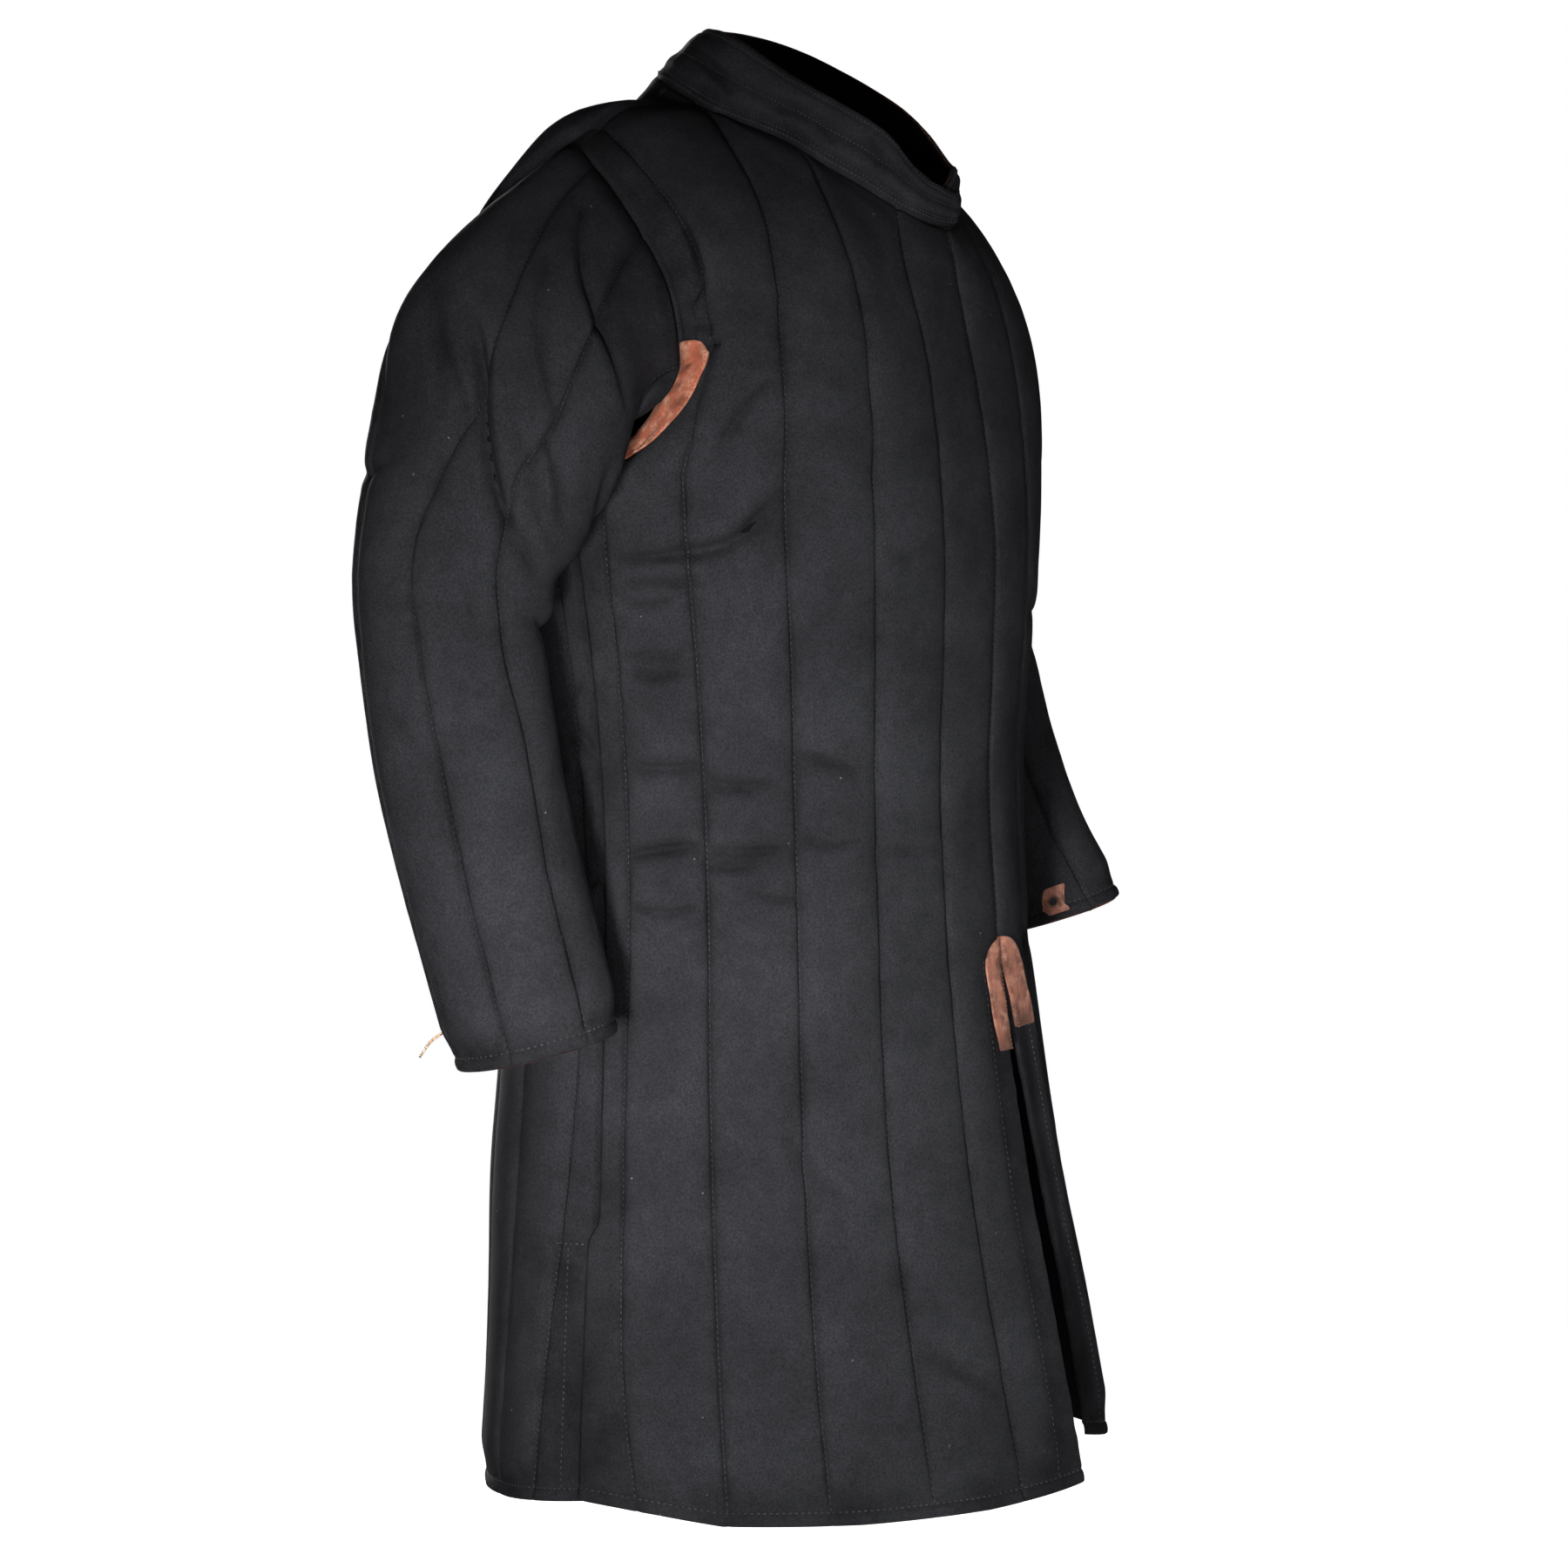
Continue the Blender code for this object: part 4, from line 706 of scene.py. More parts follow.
def between_columns(grids, across, row, wanted):
    """Points of some grids on given rows, where the distance across them reaches what is wanted."""
    k = np.clip((across[row] < wanted[:, None]).sum(axis=1) - 1, 0, across.shape[1] - 2)
    f = np.clip((wanted - across[row, k]) / (across[row, k + 1] - across[row, k]), 0.0, 1.0)[:, None]
    return [grid[row, k] * (1 - f) + grid[row, k + 1] * f for grid in grids]


def round_again(grid, axis=0):
    """A grid with its first row, or its first column for axis 1, repeated after its last."""
    return np.concatenate([grid, np.take(grid, [0], axis)], axis)


def mirrored(points, side):
    """Right-hand points as they are, or their mirror image for the left side."""
    return np.asarray(points, float) * np.array([1.0 if side == "right" else -1.0, 1.0, 1.0])


def pressed(along, centre, half_width):
    """A soft bump of height 1 at centre: the usual bell curve."""
    return np.exp(-(((along - centre) / half_width) ** 2))


def cloud(points, size, seed):
    """Smooth random heights from -1 to 1: values on a lattice of that size, blended between its corners."""
    count = 32
    lattice = np.random.default_rng(seed).uniform(-1.0, 1.0, (count, count, count))
    at = points / size
    low = np.floor(at).astype(int)
    share = smooth(at - low)
    total = 0.0
    for corner in np.ndindex(2, 2, 2):
        weight = np.prod(np.where(np.array(corner) == 1, share, 1.0 - share), axis=-1)
        i, j, k = np.moveaxis((low + np.array(corner)) % count, -1, 0)
        total = total + weight * lattice[i, j, k]
    return total


# ---------------------------------------------------------------- the body's form
def ring_quarter(z, half, shares):
    """Points of one quarter of the section at height z, right side, at shares of its length."""
    width, front, back, seam_y, front_power, back_power = table(SECTIONS, z)
    depth = front + seam_y if half == "front" else back - seam_y
    power = front_power if half == "front" else back_power
    turn = np.linspace(0.0, math.pi / 2, 121)
    x = -width * np.sin(turn) ** (2.0 / power)
    y = depth * np.cos(turn) ** (2.0 / power)
    y = seam_y - y if half == "front" else seam_y + y
    outline = np.stack([x, y, np.full_like(x, z)], -1)
    return at_length(outline, np.asarray(shares) * lengths(outline)[-1])


def neck_point(angle, rim=False, side="right"):
    """A point of the neck edge, or of the collar's rim, at an angle from centre front (right half)."""
    edge, rim_right, rim_left = np.moveaxis(table(NECK, np.abs(angle)), -1, 0)
    turn = np.radians(angle)
    if rim:
        z = rim_right if side == "right" else rim_left
        y = RIM_CENTRE_Y - RIM_HALF_DEPTH * np.cos(turn)
        return np.stack([-RIM_HALF_WIDTH * np.sin(turn), y, z], -1)
    y = NECK_CENTRE_Y - NECK_HALF_DEPTH * np.cos(turn)
    return np.stack([-NECK_HALF_WIDTH * np.sin(turn), y, edge], -1)


def neck_normal(points):
    """Which way the neck edge and the collar's lower edge face, so that the two meet flat."""
    outward = points - np.array([0.0, NECK_CENTRE_Y, 0.0])
    outward[..., 2] = 0.0
    outward = unit(outward)
    outward[..., 2] = NECK_TILT
    return unit(outward)


def armhole_normal(points):
    """Which way the armhole edge and the sleeve's head face, so that the two meet flat."""
    side = np.sign(points[..., :1])
    centre = points.copy()
    centre[..., 1:] = ARMHOLE_CENTRE
    away = unit(points - centre)
    away[..., :1] = ARMHOLE_TILT * side
    return unit(away)


def armhole_edge(half):
    """The free and the sewn edge of a panel's armhole, from the underarm up to the shoulder."""
    free = dense(PANEL_FREE_FRONT if half == "front" else PANEL_FREE_BACK)[::-1]
    seam = dense(ARMHOLE_FRONT) if half == "front" else dense(ARMHOLE_BACK)[::-1]
    step = ROW_STEP[half]
    free = spaced(free, int(lengths(free)[-1] / step) + 1)
    seam = spaced(seam, int(lengths(seam)[-1] / step) + 1)
    return np.concatenate([free, seam[1:]]), len(free) - 1


def crown_edge(half, segments):
    """The top edge of a panel: the neck from the centre out, then the shoulder seam to the armhole."""
    angles = np.linspace(0 if half == "front" else 180, SHOULDER_NECK_ANGLE, 90)
    neck = neck_point(angles)
    shares = NECK_SHARES_FRONT if half == "front" else NECK_SHARES_BACK
    neck = at_length(neck, between_lines(shares, segments)[:, 0] * lengths(neck)[-1])
    seam = dense([neck_point(np.array(float(SHOULDER_NECK_ANGLE))), SHOULDER_MIDDLE, ARMHOLE_FRONT[-1]])
    seam = at_length(seam, between_lines(SHOULDER_SHARES, segments)[:, 0] * lengths(seam)[-1])
    return np.concatenate([neck, seam[1:]])


def quarter(half, segments):
    """The right half of a panel on its stitch-line level, rows from the hem up.

    Below the underarm each row is a closed section: two half ellipses of given power that meet at
    the side seam, shared out between the stitch lines and moved up or down with the hem. Above it
    each column is a cubic curve from the section to the neck or shoulder, drawn in at the armhole.
    """
    lines = FRONT_LINES if half == "front" else BACK_LINES
    hem = np.asarray(HEM)[:, 1 if half == "front" else 2]
    levels = np.arange(LOWEST_SECTION_Z, UNDERARM_Z + 0.98 * SECTION_STEP, SECTION_STEP)
    shares = np.array([between_lines([0.0, *table(lines, z), 1.0], segments)[:, 0] for z in levels])
    rings = np.array([ring_quarter(z, half, share) for z, share in zip(levels, shares)])

    heights = HEM_Z + np.array(EDGE_ROWS)
    count = int((UNDERARM_Z - heights[-1]) / ROW_STEP[half])
    heights = np.concatenate([heights, np.linspace(heights[-1], UNDERARM_Z, count + 1)[1:]])
    column = np.arange(shares.shape[1])[None, :]

    def pick(grid, z):
        at = (z - levels[0]) / (levels[1] - levels[0])
        low = np.clip(np.floor(at).astype(int), 0, len(levels) - 2)
        share = at - low
        if grid.ndim == 3:
            share = share[..., None]
        return grid[low, column] * (1 - share) + grid[low + 1, column] * share

    z = np.repeat(heights[:, None], shares.shape[1], axis=1)
    share_here = pick(shares, z)
    down = np.clip((HEM_CURVE_TOP_Z - z) / (HEM_CURVE_TOP_Z - HEM_Z), 0.0, None)
    drop = (np.interp(share_here, np.asarray(HEM)[:, 0], hem) - HEM_Z) * down
    lower = pick(rings, z + drop)

    base = lower[-1]
    below = pick(rings, np.full_like(z[:1], UNDERARM_Z - 0.01))[0]
    rise = unit(base - below)
    crown = between_lines(np.asarray(FRONT_CROWN if half == "front" else BACK_CROWN), segments)
    top = crown_edge(half, segments)
    arrive = unit(crown[:, :3])
    reach = np.linalg.norm(top - base, axis=1, keepdims=True) * crown[:, 3:]
    edge, free = armhole_edge(half)
    climb = lengths(edge) / lengths(edge)[-1]
    natural = lengths(base)
    held = np.interp(HELD_FROM, columns_of(PANEL_CHANNELS, segments), natural)
    hold = smooth((natural - held) / (natural[-1] - held))[:, None]
    beside = between_lines(ARMHOLE_LINES, segments)[:, 0]
    knots = np.array([natural / natural[-1], beside, beside, lengths(top) / lengths(top)[-1]])
    rows = [lower]
    for t, target in list(zip(climb, edge))[1:-1]:
        points = hermite(t, base, rise * reach, top, arrive * reach)
        points = points + hold * (target - points[-1])
        row = at_length(points, spline(ARMHOLE_CLIMB, knots, np.array(t)) * lengths(points)[-1])
        rows.append(row[None])
    rows.append(top[None])
    return np.concatenate(rows), len(lower) - 1, free


def flap_spread(grid, side, channel):
    """Stand the corner of a front away from the centre line below the top of the slit."""
    apart, forward, lift, ease, forward_ease = FLAPS[side]
    down = np.clip((SLIT_TOP_Z - grid[..., 2]) / (SLIT_TOP_Z - HEM_Z), 0.0, 1.1)
    across = channel / PANEL_CHANNELS
    grid = grid.copy()
    grid[..., 0] -= apart * down**ease * (1.0 - across) ** 2
    grid[..., 1] -= forward * down**forward_ease * (1.0 - across) ** 3
    grid[..., 2] += lift * down**ease * (1.0 - across) ** 3
    return grid


def vent_lap(grid, half, channel):
    """Below the side vent's top, lay the edge of the front over the edge of the back."""
    apart = smooth((VENT_TOP_Z + 0.55 * VENT_EASE - grid[..., 2]) / (0.4 * VENT_EASE))
    over = smooth((VENT_TOP_Z + 0.4 * VENT_EASE - grid[..., 2]) / (0.45 * VENT_EASE))
    near = smooth((channel - 4.75) / 1.25)
    step = VENT_STEP if half == "front" else -VENT_STEP
    grid = grid.copy()
    grid[..., 0] -= step * apart * near
    if half == "front":
        grid[..., 1] += VENT_LAP * over * near
    return grid


def normals_of(grid, outward_from):
    """Unit normals of a grid of points, all facing away from a line or point inside it."""
    n = unit(np.cross(np.gradient(grid, axis=1), np.gradient(grid, axis=0)))
    flip = np.sum(n * (grid - outward_from), axis=-1, keepdims=True) < 0
    return np.where(flip, -n, n)


def fold_depth(grid, channel):
    """How far the compression folds press into a front, at each of its points."""
    across = channel[None, :] / PANEL_CHANNELS
    depth = np.zeros(grid.shape[:2])
    for z, start, end, drop, deep, half_height in FRONT_FOLDS:
        along = np.clip((across - start) / (end - start), 0.0, 1.0)
        centre = z - drop * (1.0 - along) ** 2
        depth += deep * np.sin(math.pi * along) ** 0.5 * pressed(grid[..., 2], centre, half_height)
    return depth


# ---------------------------------------------------------------- padding, folds and edges
def ridge(channel):
    """Height of the padding across the channels, 0 on a stitch line and 1 over most of a channel."""
    across = channel - np.floor(channel)
    return RIDGE_SHARE * (1.0 - np.abs(2.0 * across - 1.0) ** 3.6) ** 0.55


def line_distance(grid, segments, side_line_ends=None):
    """How far each point lies from the nearest stitch line and from the first, along its own row.

    The line beside the side seam can end at a row, the underarm.
    """
    across = lengths(grid, 1)
    lines = across[:, ::segments].copy()
    if side_line_ends is not None:
        lines[side_line_ends:, -2] = np.inf
    return np.abs(across[..., None] - lines[:, None, :]).min(axis=-1), across


def lip(inward):
    """How far a turned edge sinks into its wall, a quarter circle over the radius of the edge."""
    t = np.clip(1.0 - inward / LIP, 0.0, 1.0)
    return LIP_SINKS * WALL * (1.0 - np.sqrt(1.0 - t**2 * 0.999))


def swollen(grid, away, span, seed):
    """The soft unevenness of the padding: random clouds of a span that fade in from the stitch lines."""
    return bpy.context.scene.gambeson_sizes.swell * cloud(grid, span, seed) * smooth(away / SWELL_FADE)


def puckers(grid, away, up, seed):
    """Random waves that fade out within a centimetre of a stitch line and stop short of the hem."""
    waves = cloud(grid * np.array([0.45, 0.45, 1.0]), 0.0085, seed) + 0.6 * cloud(grid, 0.017, seed + 1)
    fade = np.exp(-away / 0.0085)
    return bpy.context.scene.gambeson_sizes.pucker * waves * fade * smooth((up - PUCKER_START) / PUCKER_EASE)


def hand_folds(grid, normals, folds, spot):
    """Height of the listed folds.

    Each fold is a smooth line through a few spots. Across it lies a trough, a bell curve of its depth
    and half width, with a soft ridge on the side it leans to; both fade out toward the fold's ends.
    """
    height = np.zeros(grid.shape[:2])
    for depth, width, lean, *spots in folds:
        depth, width = 0.001 * depth, 0.001 * width
        path = dense([spot(at, 0.001 * place) for at, place in zip(spots[::2], spots[1::2])], FOLD_POINTS)
        low, high = path.min(axis=0) - FOLD_REACH * width, path.max(axis=0) + FOLD_REACH * width
        near = np.all((grid > low) & (grid < high), axis=-1)
        points, n = grid[near], normals[near]
        best = np.full(len(points), np.inf)
        side = np.zeros(len(points))
        along = np.zeros(len(points))
        for k in range(len(path) - 1):
            step = path[k + 1] - path[k]
            t = np.clip((points - path[k]) @ step / (step @ step), 0.0, 1.0)
            off = points - path[k] - t[:, None] * step
            distance = np.linalg.norm(off, axis=1)
            closer = distance < best
            best = np.where(closer, distance, best)
            side = np.where(closer, np.sign(np.sum(np.cross(step, off) * n, axis=1)), side)
            along = np.where(closer, (k + t) / (len(path) - 1), along)
        fade = np.sin(math.pi * np.clip(along, 0.0, 1.0)) ** 0.6
        signed = best * side
        trough = sum(share * pressed(signed, 0.0, wide * width) for share, wide in (FOLD_TROUGH, FOLD_SKIRT))
        share, wide = FOLD_CREST
        middle = math.copysign(FOLD_CREST_PLACE, lean) * width
        crest = share * pressed(signed, middle, wide * width) * abs(lean)
        height[near] += depth * fade * (crest - trough)
    return height


def groove(away, depth, half_width):
    """How deep the cloth is drawn in at a distance from a seam or a line of stitches."""
    return depth * pressed(away, 0.0, half_width)


def padded(grid, n, height, turned, across, up, segments, side="right", loft=LOFT, wall=WALL, **ends):
    """The outer and inner points of a padded wall, and what its sewing, cut and finish go by."""
    inner = grid - n * (wall - turned - np.minimum(height, 0.0))[..., None]
    return {
        "outer": mirrored(grid + n * (height - turned)[..., None], side),
        "inner": mirrored(inner, side)[:, ::INNER_STEP],
        "level": mirrored(grid, side),
        "normals": mirrored(n, side),
        "uv": np.stack([across, up], -1),
        "raised": np.clip(height / loft, 0.0, 1.0),
        "segments": segments,
        **ends,
    }


def panel(half, side):
    """Outer and inner points and normals of half a panel, columns from the centre line out."""
    segments = SEGMENTS[half]
    grid, under, free = quarter(half, segments)
    free += under
    channel = columns_of(PANEL_CHANNELS, segments)
    if half == "front":
        grid = flap_spread(grid, side, channel)
    else:
        x, z = BLADE_PLACE
        from_arm = np.linalg.norm(grid - grid[:, -1:], axis=-1)
        from_top = np.linalg.norm(grid - grid[-1:], axis=-1)
        near = pressed(grid[..., 0], x, BLADE_REACH) * pressed(grid[..., 2], z, BLADE_REACH)
        grid[..., 1] -= BLADE_PRESS * near * smooth(from_arm / BLADE_REACH) * smooth(from_top / 0.03)
    grid = vent_lap(grid, half, channel)
    axis = np.zeros_like(grid)
    axis[..., 1] = 0.01
    axis[..., 2] = np.minimum(grid[..., 2], -0.12)
    n = normals_of(grid, axis)

    edge = n[:, -1].copy()
    edge[: under + 1] = unit(edge[: under + 1] * np.array([1.0, 0.0, 1.0]))
    edge[free:] = armhole_normal(grid[free:, -1])
    turn = np.linspace(0.0, 1.0, free - under + 1)[:, None] ** 2
    ends = np.s_[under : free + 1]
    edge[ends] = unit(edge[ends] * (1 - turn) + armhole_normal(grid[ends, -1]) * turn)
    blend = smooth((channel - PANEL_CHANNELS + SIDE_BLEND) / SIDE_BLEND)[None, :, None]
    n = unit(n * (1 - blend) + edge[:, None] * blend)
    closed = grid[:, 0, 2] > (SLIT_TOP_Z if half == "front" else -np.inf)
    blend = (smooth(1.0 - channel / CENTRE_BLEND)[None, :] * closed[:, None])[..., None]
    n = unit(n * (1 - blend) + unit(n[:, :1] * np.array([0.0, 1.0, 1.0])) * blend)
    neck_end = NECK_CHANNELS * segments
    top = n[-1].copy()
    top[: neck_end + 1] = neck_normal(grid[-1, : neck_end + 1])
    top[neck_end + 1 :] = unit(np.array(SHOULDER_FACING))
    top[neck_end] = unit(top[neck_end] + top[neck_end + 1])
    top[-1] = unit(top[-2] + n[-2, -1])
    blend = smooth((np.arange(len(grid)) - len(grid) + 5) / 4.0)[:, None, None]
    n = unit(n * (1 - blend) + top[None] * blend)

    away, across = line_distance(grid, segments, under)
    up = lengths(grid)
    to_top = up[-1] - up
    arm = np.clip((np.arange(len(grid)) - under) / (len(grid) - 1 - under), 0.0, 1.0)[:, None]
    height = np.repeat(ridge(channel)[None], len(grid), axis=0)
    last = (channel > 5.0)[None, :]
    height = np.where(last, height * SIDE_LOFT, height)
    height = np.where(last & (grid[:, -1:, 2] < VENT_TOP_Z), height * VENT_LOFT, height)
    rise, fall = PADDING_RISE["panel"]
    height *= smooth((up - HEM_BAND) / rise)
    height *= 0.15 + 0.85 * smooth(to_top / fall)
    beside = smooth(arm * 13.0 / 5.0)
    height *= 1.0 - ARMHOLE_PRESS * beside * (channel > 4.0)[None, :]
    height *= 1.0 + LOFT_VARIES * cloud(grid, *LOFT_CLOUD)
    height = LOFT * height
    if half == "front":
        beside = smooth((SLIT_TOP_Z + 0.03 - grid[:, :1, 2]) / 0.045)
        height *= 1.0 - beside * (1.0 - smooth((across - 0.016) / 0.02))
        height -= np.minimum(FOLD_SHARE * fold_depth(grid, channel), 0.9 * height)

    def spot(at_channel, z):
        k = int(np.argmin(np.abs(channel - at_channel)))
        row = int(np.argmin(np.abs(grid[:, k, 2] - z)))
        return grid[row, k]

    folds = (FRONT_CREASES if half == "front" else BACK_CREASES)[side]
    height += PANEL_FOLDS * hand_folds(grid, n, folds, spot)
    seed = 1 if half == "front" else 2
    height += swollen(grid, away, SWELL_SPAN["panel"], 10 + seed)
    height += puckers(grid, away, up, 20 + seed)
    height -= groove(away, *STITCH_GROOVE["panel"]) + groove(across[:, -1:] - across, *SIDE_SEAM)
    if half == "front":
        height -= groove(across, *CENTRE_SEAM) * closed[:, None]
    height -= groove(to_top, *CROWN_SEAM) + groove(up - HEM_BAND, *HEM_GROOVE["panel"])
    height += groove(up - 0.5 * HEM_BAND, *HEM_ROLL["panel"])

    row = np.arange(len(grid))
    opening = (grid[:, -1, 2] < VENT_TOP_Z) | ((row > under) & (row < free))
    turned = lip(up) + np.where(opening[:, None], lip(across[:, -1:] - across), 0.0)
    if half == "front":
        turned += np.where(closed[:, None], 0.0, lip(across))
    turned = np.minimum(turned, LIP_SINKS * WALL)
    return padded(grid, n, height, turned, across, up, segments, side, under=under, free=free)


# ---------------------------------------------------------------- sleeves and collar
def sleeve_head(segments):
    """The sleeve's first ring: sewn along the armhole, free across the armpit. Right side."""
    front, back = dense(ARMHOLE_FRONT), dense(ARMHOLE_BACK)
    seam = np.concatenate([front, back[1:]])
    first_line = lengths(front)[-1] - lengths(back)[-1] / SLEEVE_HEAD_STEPS_BACK
    share = columns_of(SLEEVE_CHANNELS // 3, segments) / (SLEEVE_CHANNELS // 3)
    down_front = at_length(seam, first_line * (1.0 - share))
    free = dense(SLEEVE_FREE)
    free = at_length(free, share * lengths(free)[-1])
    last = lengths(seam)[-1]
    up_back = at_length(seam, last + (first_line - last) * share)
    return np.concatenate([down_front, free[1:], up_back[1:]])


def arm_rings(side, segments):
    """Rings down the arm from the first station to the cuff, and the arm's direction at the first."""
    stations = np.asarray(STATIONS)
    y, z = (1, 3) if side == "right" else (2, 4)
    centres = np.stack([-stations[:, 0], stations[:, y], stations[:, z]], -1)
    along = lengths(centres)
    last = along[-1]
    rows = np.linspace(0.0, last - EDGE_ROWS[-1], int(last / ROW_STEP["sleeve"]))
    rows = np.concatenate([rows, last - np.array(EDGE_ROWS[:-1])[::-1]])
    centre = spline(along, centres, rows)
    halves = spline(along, stations[:, 5:7], rows)
    toward = unit(np.gradient(centre, rows, axis=0))
    straight = np.searchsorted(rows, last - HEM_BAND - (last - HEM_BAND) / (SLEEVE_ARM_ROWS - 1))
    toward[straight:] = toward[straight]
    forward = unit(np.array([0.0, -1.0, 0.0]) + toward * toward[:, 1:2])
    outward = np.cross(toward, forward)
    outward *= -np.sign(outward[:, :1])
    turn = np.radians(SLEEVE_LINE_ANGLE + 360.0 / SLEEVE_CHANNELS * columns_of(SLEEVE_CHANNELS, segments))
    across = np.cos(turn)[None, :, None] * halves[:, 1][:, None, None] * outward[:, None, :]
    across = across + np.sin(turn)[None, :, None] * halves[:, 0][:, None, None] * forward[:, None, :]
    return centre[:, None, :] + across, toward[0]


def drifted(grid, channel, share):
    """Slide a sleeve's points round the arm, so that its first two stitch lines wander."""
    moves = table(SLEEVE_DRIFT, share)
    shift = np.zeros((len(grid), SLEEVE_CHANNELS + 2))
    shift[:, 0] = shift[:, SLEEVE_CHANNELS] = moves[:, 0]
    shift[:, 1] = moves[:, 1]
    low = channel.astype(int)
    between = channel - low
    at = channel + shift[:, low] * (1.0 - between) + shift[:, low + 1] * between
    at = np.interp(at % SLEEVE_CHANNELS, channel, np.arange(len(channel)))
    low = np.minimum(at.astype(int), len(channel) - 2)
    between = (at - low)[..., None]
    row = np.arange(len(grid))[:, None]
    return grid[row, low] * (1.0 - between) + grid[row, low + 1] * between


def sleeve(side):
    """Outer and inner points and normals of a sleeve, rows from the armhole down, columns round it.

    Below the shoulder each row is an ellipse square to the arm's smooth centre line. Above it each
    column is a cubic curve from the armhole, with a swelling at the back of the head.
    """
    segments = SEGMENTS["sleeve"]
    head = sleeve_head(segments)
    rings, direction = arm_rings(side, segments)
    n_head = armhole_normal(head)
    leave = np.array(CAP_LEAVE)
    leave = unit(leave - n_head * np.sum(leave * n_head, -1, keepdims=True))
    reach = np.linalg.norm(rings[0] - head, axis=-1, keepdims=True)
    ring = SLEEVE_CHANNELS * COARSE
    channel = columns_of(SLEEVE_CHANNELS, segments)
    place = channel * COARSE
    from_top = (place + ring / 2) % ring - ring / 2 + CAP_FULL_PAST_LINE
    full = CAP_FULLNESS * pressed(from_top, 0.0, CAP_FULL_COLUMNS)[:, None] * unit(np.array(CAP_FULL_WAY))
    t = np.linspace(0.0, 1.0, CAP_ROWS)[:-1, None, None]
    cap = hermite(t, head, leave * reach * CAP_BOW, rings[0], direction * reach * CAP_BOW)
    cap = cap + full * np.sin(math.pi * t**CAP_FULL_EASE) ** 1.5
    grid = np.concatenate([cap, rings])
    wrapped = np.concatenate([grid[:, -2:-1], grid, grid[:, 1:2]], axis=1)
    n = normals_of(wrapped, grid[:, :-1].mean(axis=1, keepdims=True))[:, 1:-1]
    third = SLEEVE_CHANNELS // 3 * segments
    sewn = np.zeros(len(head))
    sewn[: third + 1] = 1.0
    sewn[2 * third :] = 1.0
    blend = (smooth(1.0 - np.arange(len(grid)) / 8.0)[:, None] * sewn)[..., None]
    n = unit(n * (1 - blend) + n_head[None] * blend)

    share = lengths(grid.mean(axis=1))
    share = share / share[-1]
    angle = 360.0 / SLEEVE_CHANNELS * channel + SLEEVE_LINE_ANGLE
    for where, centre, half_width, deep in ELBOW_FOLDS:
        reach = np.clip(1.0 - ((angle - centre) / half_width) ** 2, 0.0, 1.0)
        grid = grid - n * (deep * pressed(share, where, ELBOW_FOLD_SHARE)[:, None] * reach)[..., None]

    level, outer_side, front_side = CUFF_SLANT[side]
    down = lengths(grid)
    near = smooth(1.0 - (down[-1] - down) / CUFF_SLANT_REACH)
    along = unit(np.gradient(grid.mean(axis=1), axis=0))[:, None]
    turn = np.radians(angle)
    slant = level + outer_side * np.cos(turn) + front_side * np.sin(turn)
    grid = grid + (near * slant)[..., None] * along

    straight = grid
    grid, n = drifted(grid, channel, share), unit(drifted(n, channel, share))
    away, across = line_distance(grid, segments)
    down = lengths(grid)
    to_cuff = down[-1] - down
    height = np.repeat(ridge(channel)[None], len(grid), axis=0)
    rise, fall = PADDING_RISE["sleeve"]
    height *= smooth((to_cuff - HEM_BAND) / rise)
    height *= 0.2 + 0.8 * smooth(down / fall)
    height = LOFT * height

    def spot(at_channel, at_share):
        row = int(np.argmin(np.abs(share - at_share)))
        return straight[row, int(np.argmin(np.abs(channel - at_channel % SLEEVE_CHANNELS)))]

    height += hand_folds(grid, n, SLEEVE_CREASES[side], spot)
    around = grid.copy()
    around[:, -1] = grid[:, 0]
    height += swollen(around, away, SWELL_SPAN["sleeve"], 31)
    height += puckers(around, away, to_cuff, 41)
    height -= groove(away, *STITCH_GROOVE["sleeve"]) + groove(down, *ARMHOLE_SEAM) * sewn
    height -= groove(to_cuff - HEM_BAND, *HEM_GROOVE["sleeve"])
    height += groove(to_cuff - 0.5 * HEM_BAND, *HEM_ROLL["sleeve"])
    turned = lip(to_cuff) + lip(down) * (1.0 - sewn)
    return padded(grid, n, height, turned, across, down, segments, side)


